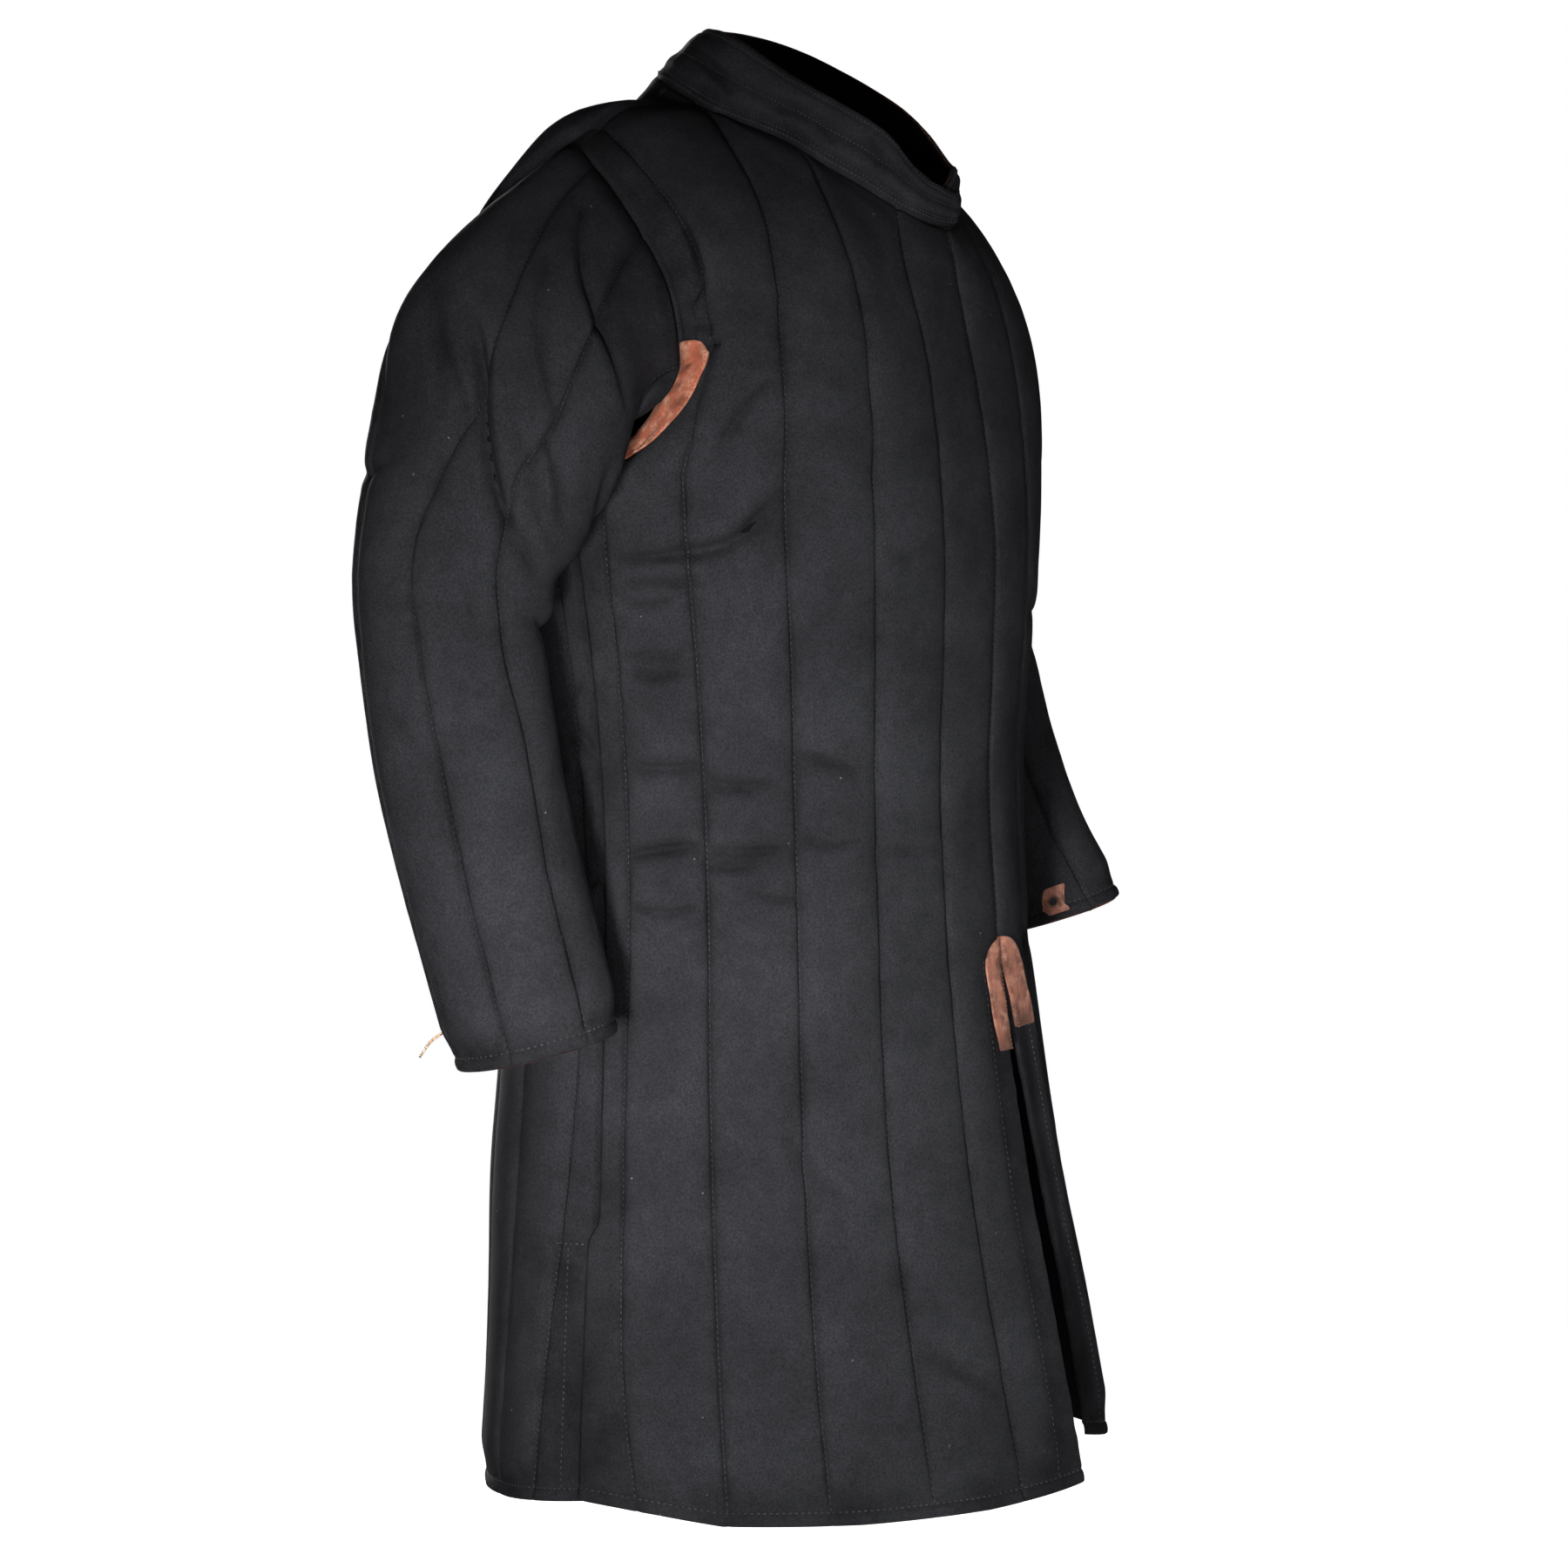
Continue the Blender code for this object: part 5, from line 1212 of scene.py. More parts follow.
def collar():
    """Outer and inner points of the collar, columns from its right end round the back to its left.

    Each column runs straight from the neck edge to the rim, both ellipses in plan with their heights
    from a table; the right end stands off to lie over the left one.
    """
    segments = SEGMENTS["collar"]
    columns = NECK_CHANNELS * segments + 1
    behind = crown_edge("back", segments)[: columns - 1][::-1]
    joined = np.concatenate([crown_edge("front", segments)[:columns], behind])
    forward = (NECK_CENTRE_Y - joined[:, 1]) / NECK_HALF_DEPTH
    right = np.degrees(np.arctan2(-joined[:, 0] / NECK_HALF_WIDTH, forward))
    lap = float(np.interp(1.0 / COARSE, columns_of(NECK_CHANNELS, segments), right[:columns]))
    right = np.concatenate([np.linspace(-lap, 0.0, 9)[:-1], right])
    left = right[:-1][::-1]
    angle = np.concatenate([right, left])
    spread = COLLAR_STEP * (1.0 - smooth(np.abs(angle) / COLLAR_STEP_TURN))
    spread[len(right) :] = 0.0
    edge = np.concatenate([neck_point(right), mirrored(neck_point(left), "left")])
    rim = np.concatenate([neck_point(right, True, "right"), mirrored(neck_point(left, True, "left"), "left")])
    n_edge = neck_normal(edge)
    up = unit(np.array([0.0, 0.0, 1.0]) - n_edge * n_edge[:, 2:3])
    rise = COLLAR_LAP_RISE * smooth(-2.0 * angle / lap)[:, None]
    edge = edge + up * rise + n_edge * spread[:, None]
    outward = unit((rim - np.array([0.0, RIM_CENTRE_Y, 0.0])) * np.array([1.0, 1.0, 0.0]))
    corner = smooth(1.0 - (left + lap) / COLLAR_CORNER_TURN)
    rim[len(right) :, 2] -= COLLAR_CORNER_DROP * corner
    rim = rim + outward * spread[:, None]
    share = np.concatenate([np.linspace(0.0, 0.96, 40), [0.972, 0.982, 0.99, 0.996, 1.0]])
    t = share[:, None, None]
    grid = edge * (1.0 - t) + rim * t + outward * COLLAR_BOW * np.sin(math.pi * t)
    axis = np.zeros_like(grid)
    axis[..., 1] = RIM_CENTRE_Y
    axis[..., 2] = grid[..., 2] - 0.02
    n = normals_of(grid, axis)
    blend = smooth(1.0 - share / 0.08)[:, None, None]
    n = unit(n * (1 - blend) + n_edge[None] * blend)
    ends = np.clip((right + lap) / lap, 0.0, 1.0), np.clip((left - lap) / (2.0 * lap), 0.0, 1.0)
    ends = np.concatenate(ends)
    height = COLLAR_LOFT * np.clip(table(COLLAR_ROWS, share), 0.0, 1.1) * ends

    def spot(at_angle, at_share):
        at = angle[: len(right)] if at_angle >= 0 else np.concatenate([np.full(len(right), 999.0), left])
        return grid[int(np.argmin(np.abs(share - at_share))), int(np.argmin(np.abs(at - abs(at_angle))))]

    across = lengths(edge)[None, :] + np.zeros((len(grid), 1))
    up = lengths(grid)
    to_rim = up[-1] - up
    height = height + hand_folds(grid, n, COLLAR_CREASES, spot)
    height += 0.0007 * cloud(grid, 0.035, 51) + 0.0005 * cloud(grid, 0.012, 52) * smooth(to_rim / 0.01)
    height -= groove(up, *COLLAR_SEAM) + groove(to_rim - RIM_BAND, *RIM_GROOVE)
    turned = lip(to_rim) + lip(across) + lip(across[:, -1:] - across)
    turned = np.minimum(turned, LIP_SINKS * WALL)
    return padded(grid, n, height, turned, across, up, segments, loft=COLLAR_LOFT, wall=COLLAR_WALL)


# ---------------------------------------------------------------- finishes
def node(tree, kind, settings=None, **inputs):
    """Add a node with its settings; each input is a value or the output socket that feeds it."""
    made = tree.nodes.new(kind)
    for name, value in (settings or {}).items():
        setattr(made, name, value)
    for name, value in inputs.items():
        key = int(name[1:]) if name[1:].isdigit() else name.replace("_", " ")
        socket = made.inputs[key]
        if isinstance(value, bpy.types.NodeSocket):
            tree.links.new(value, socket)
        else:
            socket.default_value = value
    return made


def new_finish(name, **shader):
    """A material with only a Principled shader; returns it with its tree and the shader."""
    made = bpy.data.materials.new(name)
    made.use_nodes = True
    surface = made.node_tree.nodes["Principled BSDF"]
    for key, value in shader.items():
        surface.inputs[key.replace("_", " ")].default_value = value
    return made, made.node_tree, surface


def mix(tree, share, one, other, blend="MIX"):
    """The colour between two others."""
    made = node(tree, "ShaderNodeMix", {"data_type": "RGBA", "blend_type": blend}, i0=share, i6=one, i7=other)
    return made.outputs[2]


def mapped(tree, value, low, high, to_low=0.0, to_high=1.0):
    """A value stretched from one range to another and held there."""
    made = node(tree, "ShaderNodeMapRange", {}, i0=value, i1=low, i2=high, i3=to_low, i4=to_high)
    return made.outputs[0]


def noise(tree, scale, detail, roughness=0.5):
    """Cloudy noise fixed to the piece: at a scale of 100 its clouds are about a centimetre wide."""
    place = node(tree, "ShaderNodeTexCoord").outputs["Object"]
    made = node(tree, "ShaderNodeTexNoise", Vector=place, Scale=scale, Detail=detail, Roughness=roughness)
    return made.outputs["Fac"]


def shaded(tree, base, value, low, high, dark, light):
    """A colour multiplied by a grey between dark and light, as a value runs from low to high."""
    grey = mix(tree, mapped(tree, value, low, high), (dark, dark, dark, 1.0), (light, light, light, 1.0))
    return mix(tree, 1.0, base, grey, "MULTIPLY")


def camera_only(tree, elsewhere, seen):
    """One value to the camera's own rays and another to the light that bounces about."""
    ray = node(tree, "ShaderNodeLightPath").outputs["Is Camera Ray"]
    return mapped(tree, ray, 0.0, 1.0, elsewhere, seen)


def wired(made, tree, shader, base, *bumps):
    """Give a material its colour and its bumps, each a height, a strength and a depth in metres."""
    tree.links.new(base, shader.inputs["Base Color"])
    normal = {}
    for height, strength, depth in bumps:
        bump = node(tree, "ShaderNodeBump", Strength=strength, Distance=depth, Height=height, **normal)
        normal = {"Normal": bump.outputs[0]}
    if normal:
        tree.links.new(normal["Normal"], shader.inputs["Normal"])
    return made


def quilted_cotton(colours):
    """Black cotton twill, yarn dyed and much handled.

    Twill shows as fine slanting lines, true pitch 0.6 mm and drawn at 1.5 mm so that they can be
    seen. The crowns of the ridges are painted greyer than the valleys by their height, partly as wear
    from handling and partly as painted light, which leaves painted shade in the valleys and creases.
    Pale lint clings.
    """
    made, tree, shader = new_finish("black cotton twill, quilted", Specular_IOR_Level=0.05)
    cut = node(tree, "ShaderNodeUVMap", {"uv_map": "cut"}).outputs[0]
    slanted = node(tree, "ShaderNodeMapping", Vector=cut)
    slanted.inputs["Rotation"].default_value = (0.0, 0.0, math.radians(27))
    twill = node(
        tree, "ShaderNodeTexWave", {"wave_type": "BANDS", "bands_direction": "X"},
        Vector=slanted.outputs[0], Scale=209.0, Distortion=1.4, Detail=2.0, Detail_Scale=3.0,
    ).outputs["Fac"]
    fuzz, fade = noise(tree, 640.0, 3.0, 0.8), noise(tree, 17.0, 4.0, 0.6)
    crumple = noise(tree, 95.0, 3.0, 0.55)
    raised = node(tree, "ShaderNodeAttribute", {"attribute_name": "raised"}).outputs["Fac"]
    base = mix(tree, mapped(tree, fade, 0.34, 0.68), colours.deep, colours.cloth)
    # Crowns drawn toward the rubbed colour by their height: partly wear, partly painted light; the valleys
    # and creases keep a painted shade.
    base = mix(tree, mapped(tree, raised, 0.1, 0.7, 0.0, 0.26), base, colours.rubbed)
    base = shaded(tree, base, fuzz, 0.3, 0.72, 0.52, 1.5)
    base = shaded(tree, base, crumple, 0.32, 0.68, 0.93, 1.07)
    base = shaded(tree, base, twill, 0.0, 1.0, 0.9, 1.08)
    place = node(tree, "ShaderNodeTexCoord").outputs["Object"]
    specks = node(tree, "ShaderNodeTexVoronoi", Vector=place, Scale=105.0)
    chance = node(tree, "ShaderNodeSeparateColor", Color=specks.outputs["Color"]).outputs[0]
    small = mapped(tree, specks.outputs["Distance"], 0.085, 0.045)
    rare = mapped(tree, chance, 0.955, 0.96, 0.0, 0.55)
    lint = node(tree, "ShaderNodeMath", {"operation": "MULTIPLY"}, i0=small, i1=rare).outputs[0]
    base = mix(tree, lint, base, colours.lint)
    tree.links.new(mapped(tree, fuzz, 0.3, 0.7, 0.8, 0.94), shader.inputs["Roughness"])
    return wired(made, tree, shader, base, (crumple, 0.5, 0.0008), (fuzz, 0.4, 0.0004), (twill, 0.3, 0.0003))


def worn_suede(colours, name, kind):
    """Vegetable-tanned split suede: a short brushed nap, scuffed paler, stained where hands hold it."""
    plain, pale, dark = (getattr(colours, kind + end) for end in ("", "_pale", "_dark"))
    made, tree, shader = new_finish(
        name, Roughness=0.92, Specular_IOR_Level=0.2, Sheen_Weight=0.25, Sheen_Roughness=0.6, Sheen_Tint=pale
    )
    # Nap fibres of 0.2 mm are drawn as tufts of about 0.8 mm.
    nap, scuff, blotch = noise(tree, 900.0, 3.0, 0.7), noise(tree, 130.0, 4.0, 0.65), noise(tree, 62.0, 2.0)
    stain = node(tree, "ShaderNodeAttribute", {"attribute_name": "stain"}).outputs["Fac"]
    base = mix(tree, mapped(tree, blotch, 0.4, 0.6), dark, plain)
    base = mix(tree, mapped(tree, scuff, 0.47, 0.66, 0.0, 0.8), base, pale)
    base = shaded(tree, base, nap, 0.3, 0.7, 0.8, 1.14)
    base = mix(tree, stain, base, colours.stain)
    return wired(made, tree, shader, base, (scuff, 0.5, 0.0006), (nap, 0.4, 0.0003))


def two_tone(colours, name, dark, pale, clouds, span, bump=(), **shader_values):
    """A plain finish: a cloudy change from one colour to another, with a bump of the same clouds."""
    made, tree, shader = new_finish(name, **shader_values)
    change = noise(tree, *clouds)
    base = mix(tree, mapped(tree, change, *span), getattr(colours, dark), getattr(colours, pale))
    return wired(made, tree, shader, base, *([(change, *bump)] if bump else []))


# Each plain finish: its name, its two colours, its clouds (scale, detail, roughness) and the span of
# them over which the one colour turns into the other.
THREAD = {
    "clouds": (70.0, 3.0, 0.7), "span": (0.4, 0.68),
    "Roughness": 0.55, "Specular_IOR_Level": 0.45, "Sheen_Weight": 0.1,
}
PLAIN_FINISHES = {
    # Plain-woven lining, unworn: darker than the outside and without lustre.
    "lining": {
        "name": "black cotton lining, plain woven", "dark": "lining_deep", "pale": "lining",
        "clouds": (500.0, 2.0), "span": (0.3, 0.7), "bump": (0.3, 0.0003),
        "Roughness": 0.95, "Specular_IOR_Level": 0.12,
    },
    # Undyed leather cut from a hide: smooth pale grain with a warmer, fibrous cut edge.
    "lace": {
        "name": "pale leather lace, cut", "dark": "lace_dark", "pale": "lace",
        "clouds": (420.0, 3.0), "span": (0.3, 0.7), "bump": (0.3, 0.0002),
        "Roughness": 0.62, "Specular_IOR_Level": 0.4,
    },
    # Spun polyester, twisted: slightly shinier than the cloth, so a stitch catches the light; clouds of paler
    # thread add painted highlights on the stitches.
    "thread": {
        "name": "black polyester thread", "dark": "thread", "pale": "thread_highlight", **THREAD
    },
    "leather thread": {
        "name": "brown polyester thread", "dark": "stain", "pale": "soiled", **THREAD
    },
    # Russet waxed cotton let in along the turned edges: dull, darker where it is rubbed.
    "edging": {
        "name": "russet edging cord, waxed cotton", "dark": "edging_dark", "pale": "edging",
        "clouds": (55.0, 3.0), "span": (0.38, 0.62), "Roughness": 0.8, "Specular_IOR_Level": 0.3,
    },
}


# ---------------------------------------------------------------- meshes
def put(name, points, faces, materials, uv=None, slots=None, attributes=None):
    """A mesh object at the origin from arrays of points and faces (a list of equal-sided groups)."""
    mesh = bpy.data.meshes.new(name)
    corners = np.concatenate([group.ravel() for group in faces])
    sizes = np.concatenate([np.full(len(group), group.shape[1]) for group in faces])
    starts = np.concatenate([[0], np.cumsum(sizes)[:-1]])
    mesh.vertices.add(len(points))
    mesh.vertices.foreach_set("co", np.asarray(points, np.float32).ravel())
    mesh.loops.add(len(corners))
    mesh.loops.foreach_set("vertex_index", corners.astype(np.int32))
    mesh.polygons.add(len(sizes))
    mesh.polygons.foreach_set("loop_start", starts.astype(np.int32))
    if slots is not None:
        mesh.polygons.foreach_set("material_index", np.asarray(slots, np.int32))
    mesh.update(calc_edges=True)
    if uv is not None:
        layer = mesh.uv_layers.new(name="cut")
        layer.data.foreach_set("uv", np.asarray(uv, np.float32).ravel())
    for key, values in (attributes or {}).items():
        mesh.attributes.new(key, "FLOAT", "POINT").data.foreach_set("value", np.asarray(values, np.float32))
    if mesh.validate():
        raise RuntimeError(f"{name}: the mesh has faces that can't stand")
    for material in materials:
        mesh.materials.append(material)
    mesh.shade_smooth()
    piece = bpy.data.objects.new(name, mesh)
    bpy.context.scene.collection.objects.link(piece)
    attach(piece, "root")
    return piece


def quads(grid):
    """The four corners of each face between neighbours in a grid of point numbers or coordinates."""
    corners = np.stack([grid[:-1, :-1], grid[:-1, 1:], grid[1:, 1:], grid[1:, :-1]], 2)
    return corners.reshape(-1, 4, *grid.shape[2:])


def cloth_shell(name, surface, closed=False):
    """A watertight wall from a grid of outer points and a coarser one of inner points.

    Quads join the points of each grid; fans of triangles close the top and bottom rows, and quads
    the first and last columns. A closed wall joins its last column to its first.
    """
    outer = surface["outer"]
    rows, columns = outer.shape[:2]
    points, numbers, count = [], [], 0
    for grid in (outer, surface["inner"]):
        own = grid.shape[1] - closed
        numbers.append(count + np.arange(rows)[:, None] * own + np.arange(grid.shape[1])[None, :] % own)
        points.append(grid[:, :own].reshape(-1, 3))
        count += rows * own
    out, within = numbers
    raised = np.zeros(count)
    raised[: len(points[0])] = surface["raised"][:, : columns - closed].ravel()
    uv, uv_within = surface["uv"], surface["uv"][:, ::INNER_STEP]
    spans = np.arange(within.shape[1] - 1)
    fans, fans_uv = [], []
    for row, turned in ((0, 1), (rows - 1, -1)):
        for step in range(INNER_STEP):
            a = np.arange(step, columns - 1, INNER_STEP)
            p = spans + int(step >= INNER_STEP // 2)
            fans.append(np.stack([out[row, a + 1], out[row, a], within[row, p]], -1)[:, ::turned])
            fans_uv.append(np.stack([uv[row, a + 1], uv[row, a], uv_within[row, p]], -2)[:, ::turned])
        a, p = np.arange(INNER_STEP // 2, columns - 1, INNER_STEP), spans
        fans.append(np.stack([out[row, a], within[row, p], within[row, p + 1]], -1)[:, ::turned])
        fans_uv.append(np.stack([uv[row, a], uv_within[row, p], uv_within[row, p + 1]], -2)[:, ::turned])
    sides = np.zeros((0, 4), int)
    if not closed:
        one = np.stack([out[:-1, 0], out[1:, 0], within[1:, 0], within[:-1, 0]], -1)
        other = np.stack([out[1:, -1], out[:-1, -1], within[:-1, -1], within[1:, -1]], -1)
        sides = np.concatenate([one, other])
    groups = [quads(out), quads(within)[:, ::-1], sides, np.concatenate(fans)]
    no_uv = np.zeros((len(sides), 4, 2))
    corner_uv = [quads(uv), quads(uv_within)[:, ::-1], no_uv, np.concatenate(fans_uv)]
    facing = np.cross(outer[1:, :-1] - outer[:-1, :-1], outer[:-1, 1:] - outer[:-1, :-1])
    if np.mean(np.sum(facing * surface["normals"][:-1, :-1], axis=-1)) > 0:
        groups = [group[:, ::-1] for group in groups]
        corner_uv = [group[:, ::-1] for group in corner_uv]
    slots = np.repeat([0, 1, 0, 0], [len(group) for group in groups])
    corner_uv = np.concatenate([group.reshape(-1, 2) for group in corner_uv])
    materials = [finish("cotton"), finish("lining")]
    points, values = np.concatenate(points), {"raised": raised}
    return put(name, points, groups, materials, corner_uv, slots, values)


def run_of_stitches(lines, length, pitch, width, height):
    """Stitches along lines of points and normals: each an eight-faced spindle set every pitch."""
    shape = np.array([(4, 2, 0), (3, 4, 0), (5, 3, 0), (2, 5, 0), (2, 4, 1), (4, 3, 1), (3, 5, 1), (5, 2, 1)])
    points, faces, count = [], [], 0
    for path, normals in lines:
        total = lengths(path)
        at = np.arange(0.5 * pitch, total[-1], pitch)
        if not len(at):
            continue
        centre, ahead, back = (at_length(path, at + reach * pitch) for reach in (0.0, 0.4, -0.4))
        toward = unit(ahead - back)
        n = unit(read_off(normals, total, at))
        aside = np.cross(n, toward)
        middle = centre + n * 0.25 * height
        low = centre - n * 0.3 * height
        corners = [
            low - toward * 0.5 * length,
            low + toward * 0.5 * length,
            middle - aside * 0.5 * width,
            middle + aside * 0.5 * width,
            centre + n * height,
            centre - n * 0.5 * height,
        ]
        points.append(np.stack(corners, 1).reshape(-1, 3))
        faces.append((shape + count + len(corners) * np.arange(len(at))[:, None, None]).reshape(-1, 3))
        count += len(corners) * len(at)
    return np.concatenate(points), np.concatenate(faces)


def sewing(name, lines, material, share=1.0):
    """Stitches of the size set in the sidebar, or a share of it."""
    sizes = bpy.context.scene.gambeson_sizes
    width = share * sizes.thread
    length, pitch = share * sizes.stitch, share * sizes.pitch
    points, faces = run_of_stitches(lines, length, pitch, width, 0.65 * width)
    return put(name, points, [faces], [material])


def suede_sewing(name, lines):
    """The smaller brown stitches that hold a piece of suede."""
    return sewing(name, lines, finish("leather thread"), LEATHER_STITCH)


def trim(name, path, share, material, closed):
    """A thin round trim along a path: an eight-sided ring at each of its points, joined to the next."""
    radius = share * bpy.context.scene.gambeson_sizes.edging
    if closed:
        path = round_again(path)
    toward = unit(np.gradient(path, axis=0))
    if closed:
        toward[0] = toward[-1] = unit(path[1] - path[-2])
    aside = unit(np.cross(toward, np.array([0.13, 0.21, 0.97])))
    up = np.cross(aside, toward)
    turn = np.linspace(0.0, 2.0 * math.pi, 8, endpoint=False)[:, None]
    rings = path[:, None] + radius * (np.cos(turn) * aside[:, None] + np.sin(turn) * up[:, None])
    return tube(name, rings[:-1] if closed else rings, material, closed)


def tube(name, rings, material, closed=False):
    """A surface over rings of points, its ends closed by flat faces unless it runs round to its start."""
    count, sides = rings.shape[:2]
    index = round_again(np.arange(count * sides).reshape(count, sides), 1)
    if closed:
        index = round_again(index)
    faces = [quads(index)[:, [0, 3, 2, 1]]]
    if not closed:
        faces += [index[:1, :-1], index[-1:, :-1][:, ::-1]]
    points = rings.reshape(-1, 3)
    first = faces[0][0]
    away = np.cross(points[first[1]] - points[first[0]], points[first[2]] - points[first[0]])
    if away @ (points[first[0]] - rings[0].mean(axis=0)) < 0:
        faces = [group[:, ::-1] for group in faces]
    return put(name, points, faces, [material])


# ---------------------------------------------------------------- leather
def chart(outer, normals, origin):
    """Points and normals of a panel by distance along one edge (by row) and in from it (by column)."""
    along = lengths(outer[:, 0])
    along = along - along[origin]
    across = lengths(outer, 1)

    def find(a, b):
        a, b = np.broadcast_arrays(np.asarray(a, float), np.asarray(b, float))
        shape = a.shape
        a, b = a.ravel(), b.ravel()
        r = np.interp(a, along, np.arange(len(outer)))
        low = np.clip(r.astype(int), 0, len(outer) - 2)
        below, above = (between_columns((outer, normals), across, row, b) for row in (low, low + 1))
        f = (r - low)[:, None]
        point, normal = (one * (1 - f) + other * f for one, other in zip(below, above))
        return point.reshape(*shape, 3), unit(normal).reshape(*shape, 3)

    return find


def past_edge(outer, normals, reach, from_edge=0.005):
    """A panel continued past its first column, level with the cloth a few millimetres in from it."""
    across = lengths(outer, 1)
    k = int(np.argmin(np.abs(across.mean(axis=0) - from_edge)))
    away = unit(outer[:, k] - outer[:, k + 2])[:, None]
    share = np.linspace(1.0, 0.0, 6)[:-1, None]
    out = outer[:, k, None] + away * ((reach + across[:, k, None, None]) * share)
    flat = np.repeat(normals[:, k, None], len(share), axis=1)
    return np.concatenate([out, outer[:, k:]], axis=1), np.concatenate([flat, normals[:, k:]], axis=1)


def leather_sheet(name, grids, material, stain=None, closed=False):
    """Leather from grids of points on its middle level, welded where they meet.

    Solidify gives it its thickness and one level of subdivision its softened edge.
    """
    points, faces, stains, count = [], [], [], 0
    for k, grid in enumerate(grids):
        rows, columns = grid.shape[:2]
        index = count + np.arange(rows * columns).reshape(rows, columns)
        if closed:
            index = round_again(index, 1)
        faces.append(quads(index))
        points.append(grid.reshape(-1, 3))
        stains.append(np.zeros(rows * columns) if stain is None else stain[k].ravel())
        count += rows * columns
    stains = {"stain": np.concatenate(stains)}
    piece = put(name, np.concatenate(points), [np.concatenate(faces)], [material], attributes=stains)
    work = bmesh.new()
    work.from_mesh(piece.data)
    bmesh.ops.remove_doubles(work, verts=work.verts, dist=0.00002)
    work.to_mesh(piece.data)
    work.free()
    wall = piece.modifiers.new("thickness", "SOLIDIFY")
    wall.thickness = bpy.context.scene.gambeson_sizes.suede
    wall.offset = 0.0
    soft = piece.modifiers.new("softened edge", "SUBSURF")
    soft.levels = 1
    soft.render_levels = 1
    return piece


def facing_out(grid, normals, stain):
    """A grid and its stains, their columns turned round if its faces would look into the garment."""
    facing = np.cross(grid[:-1, 1:] - grid[:-1, :-1], grid[1:, :-1] - grid[:-1, :-1])
    if np.mean(np.sum(facing * normals[:-1, :-1], axis=-1)) < 0:
        return grid[:, ::-1], stain[:, ::-1]
    return grid, stain


def on_suede(find, a, b, lift=LEATHER_LIFT):
    """Points and normals of a line of stitches on top of the suede, at places on a chart."""
    line, n = find(a, b)
    return line + n * (lift + LEATHER), n


def hand_cut(a, depth, waves, phase, start):
    """The wobble of an edge cut by hand, from a start on down it."""
    return depth * np.sin(waves * a + phase) * (a > start)


# ---------------------------------------------------------------- the pieces
surfaces = {}  # the fronts and sleeves by kind and side, for the leather laid on them
finishes = {}


def finish(key):
    """The material of that name, made once from the colours in the sidebar."""
    if key not in finishes:
        colours = bpy.context.scene.gambeson_colours
        if key == "cotton":
            finishes[key] = quilted_cotton(colours)
        elif key == "suede":
            finishes[key] = worn_suede(colours, "tan suede, brushed", "suede")
        elif key == "dark suede":
            finishes[key] = worn_suede(colours, "tan suede, soiled", "soiled")
        else:
            finishes[key] = two_tone(colours, **PLAIN_FINISHES[key])
    return finishes[key]


def row_at(surface, distance):
    """The row nearest a distance up from the hem."""
    return int(np.argmin(np.abs(surface["uv"][:, 0, 1] - distance)))


def inset_line(surface, rows, distance, from_last=False):
    """Points and normals at a fixed distance in from a panel's first or last column."""
    across = surface["uv"][..., 0]
    wanted = across[rows, -1] - distance if from_last else np.full(len(rows), distance)
    return between_columns((surface["outer"], surface["normals"]), across, rows, wanted)


def declare_cut(grids):
    """Measure a sheet's widest rows added up, its longest column and the steps between its points; the
    results are not kept.
    """
    width = sum(max(lengths(row)[-1] for row in grid) for grid in grids)
    length = max(lengths(column)[-1] for grid in grids for column in np.moveaxis(grid, 1, 0))
    for grid in grids:
        across, down = np.diff(grid[:-1], axis=1), np.diff(grid[:, :-1], axis=0)


def quilting(surface):
    """Where half a panel is quilted and hemmed, and the row of its hem."""
    outer, n, segments = surface["outer"], surface["normals"], surface["segments"]
    hem = row_at(surface, HEM_BAND)
    ends = [len(outer) - 2] * 4 + [surface["under"]]
    lines = [(outer[hem:end, k * segments], n[hem:end, k * segments]) for k, end in enumerate(ends, 1)]
    lines.append((outer[hem, 1:-1], n[hem, 1:-1]))
    return lines, hem


def front_lines(surface, side):
    """Where a front is sewn: its quilting lines, hem and slit edge, and on the right the centre seam."""
    lines, hem = quilting(surface)
    slit = surface["outer"][:, 0, 2] < SLIT_TOP_Z + 0.004
    lines.append(inset_line(surface, np.flatnonzero(slit)[hem:], SLIT_STITCH_INSET))
    if side == "right":
        lines.append(inset_line(surface, np.flatnonzero(~slit)[4:-3], CENTRE_STITCH_INSET))
    return lines


def back_lines(surface):
    """Where half the back is sewn: its quilting lines, the hem and the edge of the side vent."""
    lines, hem = quilting(surface)
    outer, n = surface["outer"], surface["normals"]
    vent = np.flatnonzero(outer[:, -1, 2] < VENT_TOP_Z)[hem:]
    lines.append(inset_line(surface, vent, VENT_STITCH_INSET, from_last=True))
    row = vent[-1]
    across = surface["uv"][row, :, 0]
    ends = across[-1] - np.array([VENT_STITCH_INSET + 0.012, 0.004])
    bar = (across > ends[0]) & (across < ends[1])
    lines.append((outer[row, bar], n[row, bar]))
    return lines


def sleeve_lines(surface):
    """Where a sleeve is sewn: its six quilting lines and the cuff's hem."""
    outer, n, segments = surface["outer"], surface["normals"], surface["segments"]
    cuff = len(outer) - 1 - EDGE_ROWS.index(HEM_BAND)
    lines = [(outer[3:cuff, k * segments], n[3:cuff, k * segments]) for k in range(SLEEVE_CHANNELS)]
    lines.append((outer[cuff], n[cuff]))
    return lines


def collar_lines(surface):
    """Where the collar is sewn: twice above its base, once along its middle and once below the rim."""
    outer, n = surface["outer"], surface["normals"]
    rise = surface["uv"][:, :, 1]
    share = rise[:, :1] / rise[-1:, :1]
    lines = []
    for at in COLLAR_STITCH_SHARES:
        row = int(np.argmin(np.abs(share[:, 0] - at)))
        lines.append((outer[row, 2:-2], n[row, 2:-2]))
    return lines


